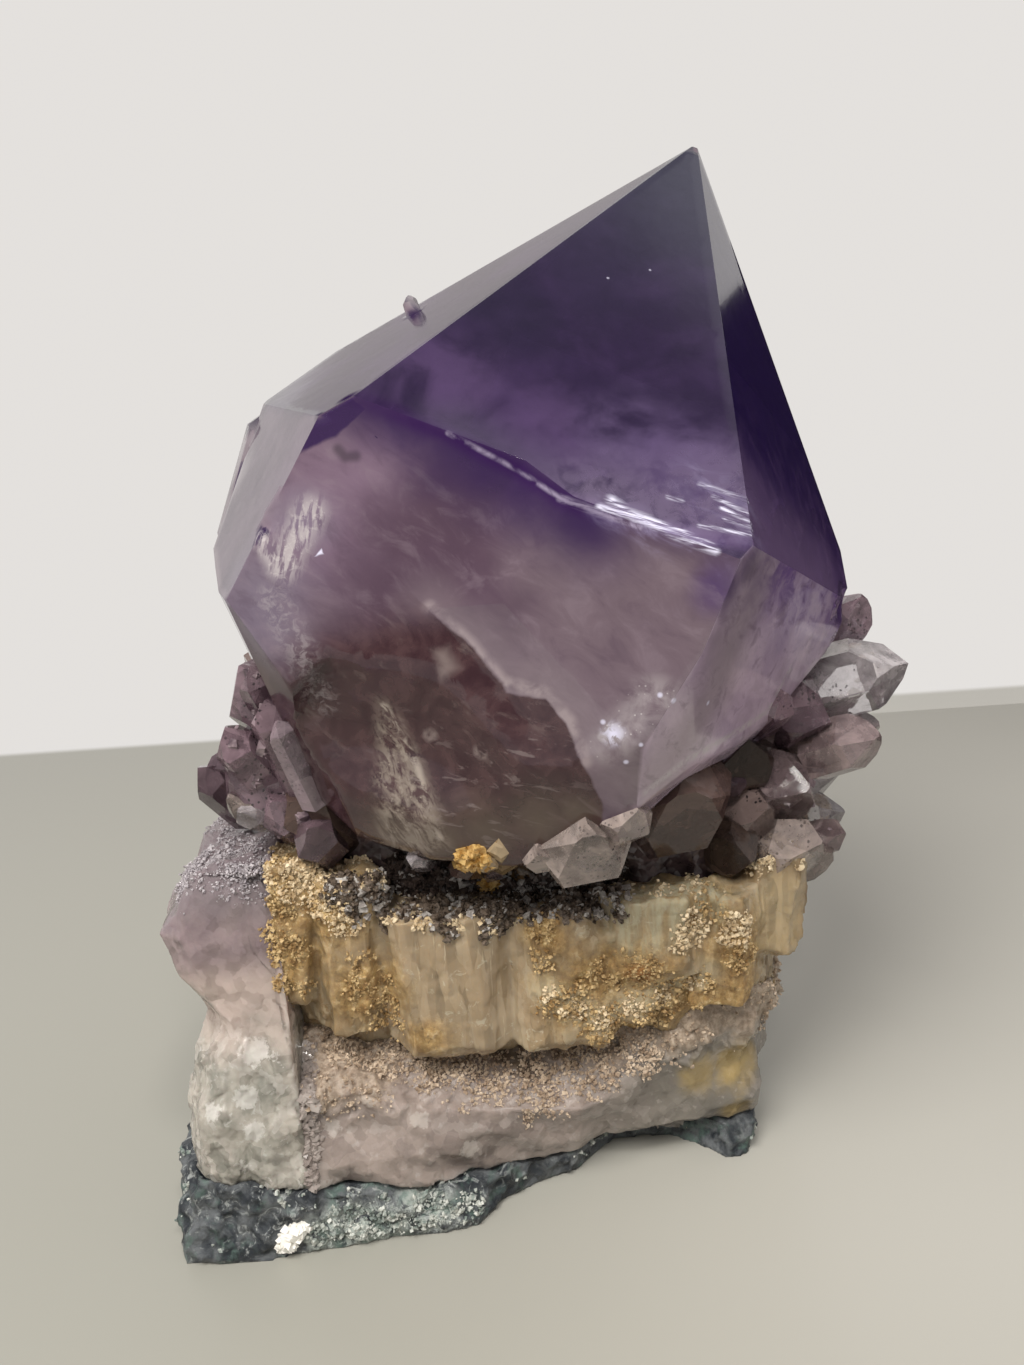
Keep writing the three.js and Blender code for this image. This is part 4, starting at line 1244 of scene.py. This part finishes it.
STAINED_SPOTS = (
    (262, 900, 8), (285, 960, 7), (325, 915, 7), (365, 990, 7), (640, 975, 8), (590, 990, 8), (745, 955, 8),
    (700, 900, 7), (690, 1000, 7), (545, 935, 4), (620, 1030, 7), (740, 1000, 7), (430, 1040, 4),
)

shade = Shade("honey_quartz")
upright = shade.drawn((0, 0, 1), 0.14)
fibre = shade.noise(1.4, 4.0, 0.6, 0.3, at=upright)
fine_fibre = shade.noise(0.7, 3.0, 0.6, 0.2, at=shade.drawn((0, 0, 1), 0.06))
_, splinter = shade.cells(2.6, at=shade.vector("MULTIPLY", shade.stirred(5, 2.5), (1, 1, 0.3)))
lumpy = shade.noise(2.2, 5.0, 0.7)
crumbly = shade.noise(1.0, 5.0, 0.75)
ochre = shade.layers(
    shade.mix(lumpy.rise(0.35, 0.6), (0.23, 0.13, 0.045), (0.46, 0.3, 0.12)),
    (lumpy.rise(0.55, 0.68), (0.66, 0.5, 0.29)),
    (shade.noise(1.5, 4.0, 0.7).rise(0.42, 0.32) * 0.7, (0.1, 0.06, 0.025)),
)
waxy = shade.near_bends([((415, 935), (450, 1025))], 14, 0.25)
waxy = waxy.most(shade.near_bends([((475, 930), (480, 1010))], 8, 0.3))
stained = shade.near_spots(STAINED_SPOTS, 0.6, shade.noise(4, 4.0, 0.6) * 0.7 + 0.15)
greenish = shade.near_spots([(665, 905, 8), (640, 925, 6), (700, 895, 6)], 0.6)
seam_wobble = shade.noise(4, 4.0, 0.6) * 0.6 + 0.2
cream_seam = shade.near_bends([((548, 992), (600, 1018), (705, 972))], 2.6, 0.8, seam_wobble)
tan = shade.near_spots([(778, 905, 6), (782, 935, 6)], 0.5)
rusty = shade.near_spots([(640, 975, 2.2), (487, 865, 3)], 0.6)
honey = shade.layers(
    shade.mix(shade.noise(7, 5.0, 0.6, 0.6).rise(0.35, 0.7), (0.25, 0.175, 0.095), (0.4, 0.305, 0.19)),
    (splinter.rise(0.5, 1.0) * 0.6, (0.42, 0.35, 0.245)),
    (splinter.rise(0.35, 0.0) * 0.5, (0.19, 0.125, 0.06)),
    (fibre.rise(0.58, 0.72) * 0.5, (0.45, 0.38, 0.27)),
    (waxy * 0.65, (0.36, 0.275, 0.18)),
    (waxy * fine_fibre.rise(0.64, 0.7) * 0.6, (0.55, 0.46, 0.32)),
    (shade.noise(3, 4.0, 0.65, 1.0).rise(0.6, 0.68) * 0.7, (0.5, 0.44, 0.33)),
    (stained * 0.9, ochre),
    (greenish * (fibre.rise(0.35, 0.6) * 0.7 + 0.2), (0.43, 0.39, 0.27)),
    (cream_seam * 0.8, (0.52, 0.43, 0.28)),
    (tan * 0.8, (0.48, 0.37, 0.22)),
    (rusty * 0.7, (0.4, 0.16, 0.04)),
)
uneven = (fibre * 0.5 + crumbly * (0.3 + stained)) * (1 - waxy * 0.6)
relief = shade.bump(uneven, 0.45, 0.8, shade.facet_normal(1.5, 0.22, upright))
honey_look = shade.done(shade.principled(
    base_color=honey, roughness=0.24 + stained * 0.35, ior=1.52, subsurface_weight=0.35,
    subsurface_radius=(1.0, 0.7, 0.4), subsurface_scale=0.003, normal=relief,
))
honey_piece = rock("honey_columns", "honey_band", 0.58, honey_relief, honey_look)


def ochre_share(p):
    hidden = ease(p[:, 1], -8, 4) * ease(wander(p, 6, 62), 0.1, 0.4)
    return round_spots(p, *OCHRE_SPOTS) * ease(wander(p, 3, 63), -0.5, 0.1) + 0.4 * hidden


CREAM_SPOTS = (
    (330, 905, 3.5), (345, 925, 3), (255, 868, 4), (300, 880, 4), (690, 930, 4), (740, 930, 3.5),
    (388, 918, 1.6), (420, 924, 1.6), (455, 926, 1.6), (490, 926, 2), (550, 993, 1.8),
    (575, 1008, 2.2), (602, 1018, 2.4), (632, 1006, 2.2), (662, 994, 2), (692, 980, 1.8),
)


def cream_share(p):
    hidden = ease(p[:, 1], -8, 4) * ease(p[:, 2], 56, 61) * ease(wander(p, 5, 64), -0.1, 0.3)
    crest = ease(p[:, 2], 60, 63) * ease(wander(p, 4, 65), -0.2, 0.2)
    return round_spots(p, *CREAM_SPOTS) + 0.6 * crest + 0.5 * hidden


ochre_look = grain_look("ochre_crumbs", (0.27, 0.16, 0.06), (0.62, 0.46, 0.24), 0.5, 2.2)
cream_look = grain_look("cream_sugar", (0.48, 0.35, 0.2), (0.78, 0.65, 0.45), 0.35, 2.5)
RIM_LINE = (
    (345, 888, 4), (375, 898, 5), (410, 902, 5), (450, 908, 5), (490, 908, 5), (530, 905, 5), (570, 903, 5),
    (610, 896, 4),
)


def rim_share(p):
    return round_spots(p, *RIM_LINE) * ease(wander(p, 3, 69), -0.4, 0.1)


grey_look = grain_look("grey_grit", (0.03, 0.02, 0.014), (0.17, 0.13, 0.1), 0.22)
scattered("rim_grit", honey_piece, 2600, (0.4, 1.3), rim_share, grey_look, seed=11)
grey_lumps = grain_look("grey_lumps", (0.22, 0.195, 0.18), (0.5, 0.47, 0.44), 0.15)
scattered(
    "rim_quartz", honey_piece, 420, (0.4, 1.4), lambda p: round_spots(p, *RIM_LINE), grey_lumps,
    seed=12,
)
scattered(
    "ochre_crumbs", honey_piece, 15000, (0.2, 0.7), ochre_share, ochre_look, sink=0.68, seed=5
)
scattered(
    "cream_sugar", honey_piece, 8000, (0.2, 0.75), cream_share, cream_look, sink=0.6, seed=6
)

# The milky quartz
# A broken layer of milky quartz, faintly pink and grey, with crystalline fracture facets.


def milky_relief(p, n):
    sugary = ease(p[:, 2], 20, 27)
    broken = (0.5 + 1.3 * sugary) * scoops(p, 6, 31) + (0.2 + 0.7 * sugary) * facets(p, 2.4, 32)
    return broken + 0.5 * scoops(p, 14, 33) - 0.6


CHIP_SPOTS = (
    (336, 1085, 2.2), (332, 1128, 1.6), (368, 1098, 1.6), (322, 1195, 2.6), (420, 1120, 1.5),
    (470, 1150, 1.8),
)
# Painted shadow: dark brown where the honey columns overhang the milky quartz.
COLUMN_SHADOW_SPOTS = ((470, 1052, 6), (520, 1058, 5), (420, 1040, 4), (600, 1045, 5))
YELLOW_SPOTS = ((735, 1060, 5), (700, 1075, 4), (735, 1110, 3), (640, 1140, 2.5))

shade = Shade("milky_quartz")
height = shade.along((0, 0, 1))
_, flake = shade.cells(2.8, at=shade.stirred(4, 2.0))
chipped = shade.near_spots(CHIP_SPOTS, 0.15, shade.noise(1.6, 4.0, 0.7))
yellow = shade.near_spots(YELLOW_SPOTS, 0.6, shade.noise(3, 3.0) * 0.5 + 0.25)
sugar = (height + (shade.noise(5, 4.0) - 0.5) * 14).rise(24, 30)
sugary = shade.mix(shade.noise(1.1, 4.0, 0.7).rise(0.35, 0.65), (0.24, 0.175, 0.12), (0.48, 0.38, 0.29))
milky = shade.layers(
    shade.mix(shade.noise(12, 5.0, 0.6, 0.6).rise(0.3, 0.7), (0.23, 0.185, 0.165), (0.38, 0.315, 0.28)),
    (shade.along((1, 0, 0)).rise(0, 25) * 0.75, (0.19, 0.178, 0.148)),
    (flake.rise(0.55, 1.0) * 0.3, (0.4, 0.36, 0.335)),
    (flake.rise(0.4, 0.0) * 0.25, (0.13, 0.105, 0.1)),
    (chipped * 0.6, (0.52, 0.47, 0.43)),
    (shade.noise(1.8, 4.0).rise(0.6, 0.7) * 0.45, (0.45, 0.41, 0.38)),
    (height.rise(12, 4) * 0.4, (0.38, 0.33, 0.3)),
    (sugar * 0.8, sugary),
    (shade.near_spots(COLUMN_SHADOW_SPOTS, 0.6) * 0.7, (0.085, 0.058, 0.032)),
    (yellow * 0.75, (0.4, 0.285, 0.1)),
)
faceted = shade.facet_normal(1.9, 0.18, shade.stirred(3, 1.2))
relief = shade.bump(shade.noise(0.9, 4.0, 0.7), 0.3, 0.5, faceted)
milky_look = shade.done(shade.principled(
    base_color=milky, roughness=0.22 + sugar * 0.2, ior=QUARTZ_IOR, subsurface_weight=0.5,
    subsurface_radius=(1.0, 0.9, 0.85), subsurface_scale=0.004, normal=relief,
))
milky_piece = rock("milky_quartz", "milky_layer", 0.6, milky_relief, milky_look)

PINK_SPOTS = (
    (480, 1075, 7), (540, 1085, 6), (585, 1065, 6), (430, 1065, 5), (390, 1055, 5), (350, 1045, 5),
    (640, 1050, 5),
)
SEAM_SPOTS = tuple((306 + i % 3, 1055 + 14 * i, 2.2) for i in range(11))


def pink_share(p):
    hidden = ease(p[:, 2], 22, 27) * ease(wander(p, 5, 66), -0.1, 0.25)
    return round_spots(p, *PINK_SPOTS) + 0.25 * hidden


flake_look = grain_look("seam_flakes", (0.25, 0.21, 0.19), (0.42, 0.37, 0.34), 0.15, 4.0)
scattered(
    "seam_flakes", milky_piece, 700, (0.4, 1.6), lambda p: round_spots(p, *SEAM_SPOTS), flake_look,
    sink=0.75, seed=13,
)
pink_look = grain_look("pink_sugar", (0.33, 0.24, 0.17), (0.62, 0.5, 0.38), 0.3, 2.2)
scattered(
    "pink_sugar", milky_piece, 15000, (0.2, 0.7), pink_share, pink_look, sink=0.65, seed=7
)

# The purple quartz block
# The end of the wall: lilac and translucent above, white and fractured below, with a frosty top.

PURPLE_FLATS = (  # direction, how far it stands from the block's middle in mm
    ((-0.5, -0.85, 0.1), 22.5), ((0.1, -0.98, 0.2), 15.5), ((-0.95, -0.3, -0.1), 17),
    ((-0.6, -0.35, 0.72), 17.5), ((0.1, -0.65, 0.75), 17), ((-0.45, -0.75, -0.48), 20),
)
PURPLE_MIDDLE = np.array((-54, -20, 55)) + np.array(CENTRING)


def purple_relief(p, n):
    lower = ease(p[:, 2], 46, 34)
    flat = np.zeros(len(p))
    for way, reach in PURPLE_FLATS:
        way = np.array(way) / np.linalg.norm(way)
        over = np.clip((p - PURPLE_MIDDLE) @ way - reach, 0, 2.2) * ease(n @ way, 0.0, 0.6)
        flat = np.maximum(flat, over)
    rough = (0.7 + 0.7 * lower) * scoops(p, 9, 41) + 0.2 * scoops(p, 3.2, 42)
    rough = rough + 0.06 * wander(p, 1.8, 43) - 0.45
    rough = rough + lower * (0.65 * facets(p * np.array((1, 1, 0.6)), 4.2, 44) + 0.25 * facets(p, 1.8, 45))
    return rough - flat * (1 - lower)


FLAKE_SPOTS = (
    (255, 1052, 2.4), (246, 1096, 2), (254, 1130, 1.8), (243, 1163, 1.6), (214, 1112, 1.6), (228, 1030, 2.2),
)
CLEAR_SPOTS = ((225, 1085, 5), (260, 1100, 5), (225, 1130, 5), (262, 1150, 5))

shade = Shade("purple_quartz")
height = shade.along((0, 0, 1))
cloud = shade.noise(9, 5.0, 0.6, 0.5)
_, flake = shade.cells(3.0, at=shade.stirred(4, 2.5))
lilac_top = shade.layers(
    shade.mix(cloud.rise(0.3, 0.7), (0.18, 0.13, 0.145), (0.3, 0.235, 0.235)),
    ((height + (cloud - 0.5) * 8).rise(57, 47) * 0.85, (0.5, 0.41, 0.36)),
    (height.rise(58, 66) * 0.7, (0.2, 0.17, 0.18)),
)
white_foot = shade.layers(
    shade.mix(cloud.rise(0.35, 0.6), (0.25, 0.24, 0.205), (0.5, 0.455, 0.4)),
    (flake.rise(0.55, 1.0) * 0.7, (0.52, 0.49, 0.45)),
    (flake.rise(0.4, 0.0) * 0.5, (0.16, 0.155, 0.13)),
    (shade.noise(2.0, 4.0, 0.6, 0.6).rise(0.62, 0.68) * 0.6, (0.62, 0.6, 0.56)),
    (shade.near_spots(FLAKE_SPOTS, 0.15, shade.noise(1.4, 4.0, 0.7)) * 0.8, (0.72, 0.69, 0.65)),
    (shade.near_spots(CLEAR_SPOTS, 0.8) * 0.35, (0.23, 0.235, 0.2)),
)
purple = shade.mix((height + (cloud - 0.5) * 14).rise(34, 46), white_foot, lilac_top)
stirred = shade.stirred(3, 1.5)
faceted = shade.facet_normal(2.6, 0.25, stirred, under=shade.facet_normal(1.0, 0.1, stirred))
relief = shade.bump(shade.noise(0.8, 4.0, 0.7), 0.15, 0.5, faceted)
purple_look = shade.done(shade.principled(
    base_color=purple, roughness=0.12, ior=QUARTZ_IOR, subsurface_weight=0.5,
    subsurface_radius=(1.0, 0.85, 0.95), subsurface_scale=0.004, normal=relief,
))
purple_piece = rock("purple_quartz_block", "purple_block", 0.5, purple_relief, purple_look)


def frost_share(p):
    shown = round_spots(p, (200, 860, 6), (225, 850, 6), (185, 880, 4), (245, 870, 4))
    return shown + 0.5 * ease(p[:, 2], 62, 66) * ease(wander(p, 4, 67), 0.0, 0.3)


SIDE_SPOTS = ((266, 880, 2), (268, 905, 2), (272, 930, 1.8), (278, 955, 1.8), (288, 980, 2))
scattered(
    "side_ochre", purple_piece, 700, (0.2, 0.7), lambda p: round_spots(p, *SIDE_SPOTS), ochre_look,
    sink=0.6, seed=16,
)
frost_look = grain_look("frost", (0.3, 0.27, 0.29), (0.55, 0.51, 0.53), 0.2)
scattered("frost", purple_piece, 3000, (0.15, 0.55), frost_share, frost_look, seed=8)

# The basalt crust
# The thin skin of dark basalt that the geode wall broke away with, blue-grey with green and whitish grains.


def crust_relief(p, n):
    rough = 1.0 * wander(p, 4.5, 51) + 1.6 * scoops(p, 3.4, 52) + 1.0 * scoops(p, 1.7, 53) - 1.2
    return rough * ease(p[:, 2], 0.1, 1.6)


shade = Shade("basalt")
leftward = shade.along((1, 0, 0)).rise(5, -25) * 0.75 + 0.25
pale = shade.noise(3.0, 5.0, 0.72, 1.2).rise(0.54, 0.64) * leftward
green_white = shade.near_spots([(330, 1240, 5), (375, 1230, 5), (425, 1210, 5)], 0.7)
green_white = green_white * shade.noise(2.5, 5.0, 0.7, 0.8).rise(0.4, 0.58)
green = shade.noise(7, 3.0, 0.6, 0.5).rise(0.5, 0.62) * shade.noise(2.2, 4.0, 0.7).rise(0.4, 0.6)
stone = shade.layers(
    shade.mix(shade.noise(5, 5.0, 0.65, 0.6).rise(0.38, 0.62), (0.026, 0.031, 0.038), (0.14, 0.15, 0.158)),
    (pale * 0.85, (0.42, 0.44, 0.43)),
    (green_white * 0.9, (0.55, 0.6, 0.55)),
    (green * 0.6, (0.12, 0.19, 0.16)),
)
faceted = shade.facet_normal(1.1, 0.25, shade.stirred(2, 1))
relief = shade.bump(shade.noise(1.0, 5.0, 0.75), 0.6, 0.8, faceted)
basalt_look = shade.done(shade.principled(base_color=stone, roughness=0.38, ior=1.5, normal=relief))
crust_piece = rock("basalt_crust", "crust", 0.6, crust_relief, basalt_look)


def lump_share(p):
    shown = round_spots(p, (345, 1232, 5), (390, 1225, 5), (430, 1208, 4), (470, 1210, 3))
    return shown + 0.25 * ease(wander(p, 4, 68), 0.15, 0.4)


crust_grains = grain_look("crust_grains", (0.17, 0.21, 0.19), (0.66, 0.67, 0.62), 0.35, 2.5)
scattered(
    "crust_grains", crust_piece, 3600, (0.25, 0.9), lump_share, crust_grains, sink=0.65, seed=9
)
CHALK_SPOTS = ((287, 1243, 1.4), (293, 1234, 1.2), (303, 1227, 1))
chalk_look = grain_look("chalk", (0.9, 0.87, 0.8), (0.97, 0.95, 0.9), 0.6)
scattered(
    "chalk", crust_piece, 120, (0.8, 2.0), lambda p: round_spots(p, *CHALK_SPOTS), chalk_look,
    seed=10,
)

# Sizes
# The tones are shown as they are, and the scene is brought up to date, so that the solids' sizes are current.

bpy.context.scene.view_settings.view_transform = "Standard"
bpy.context.view_layer.update()
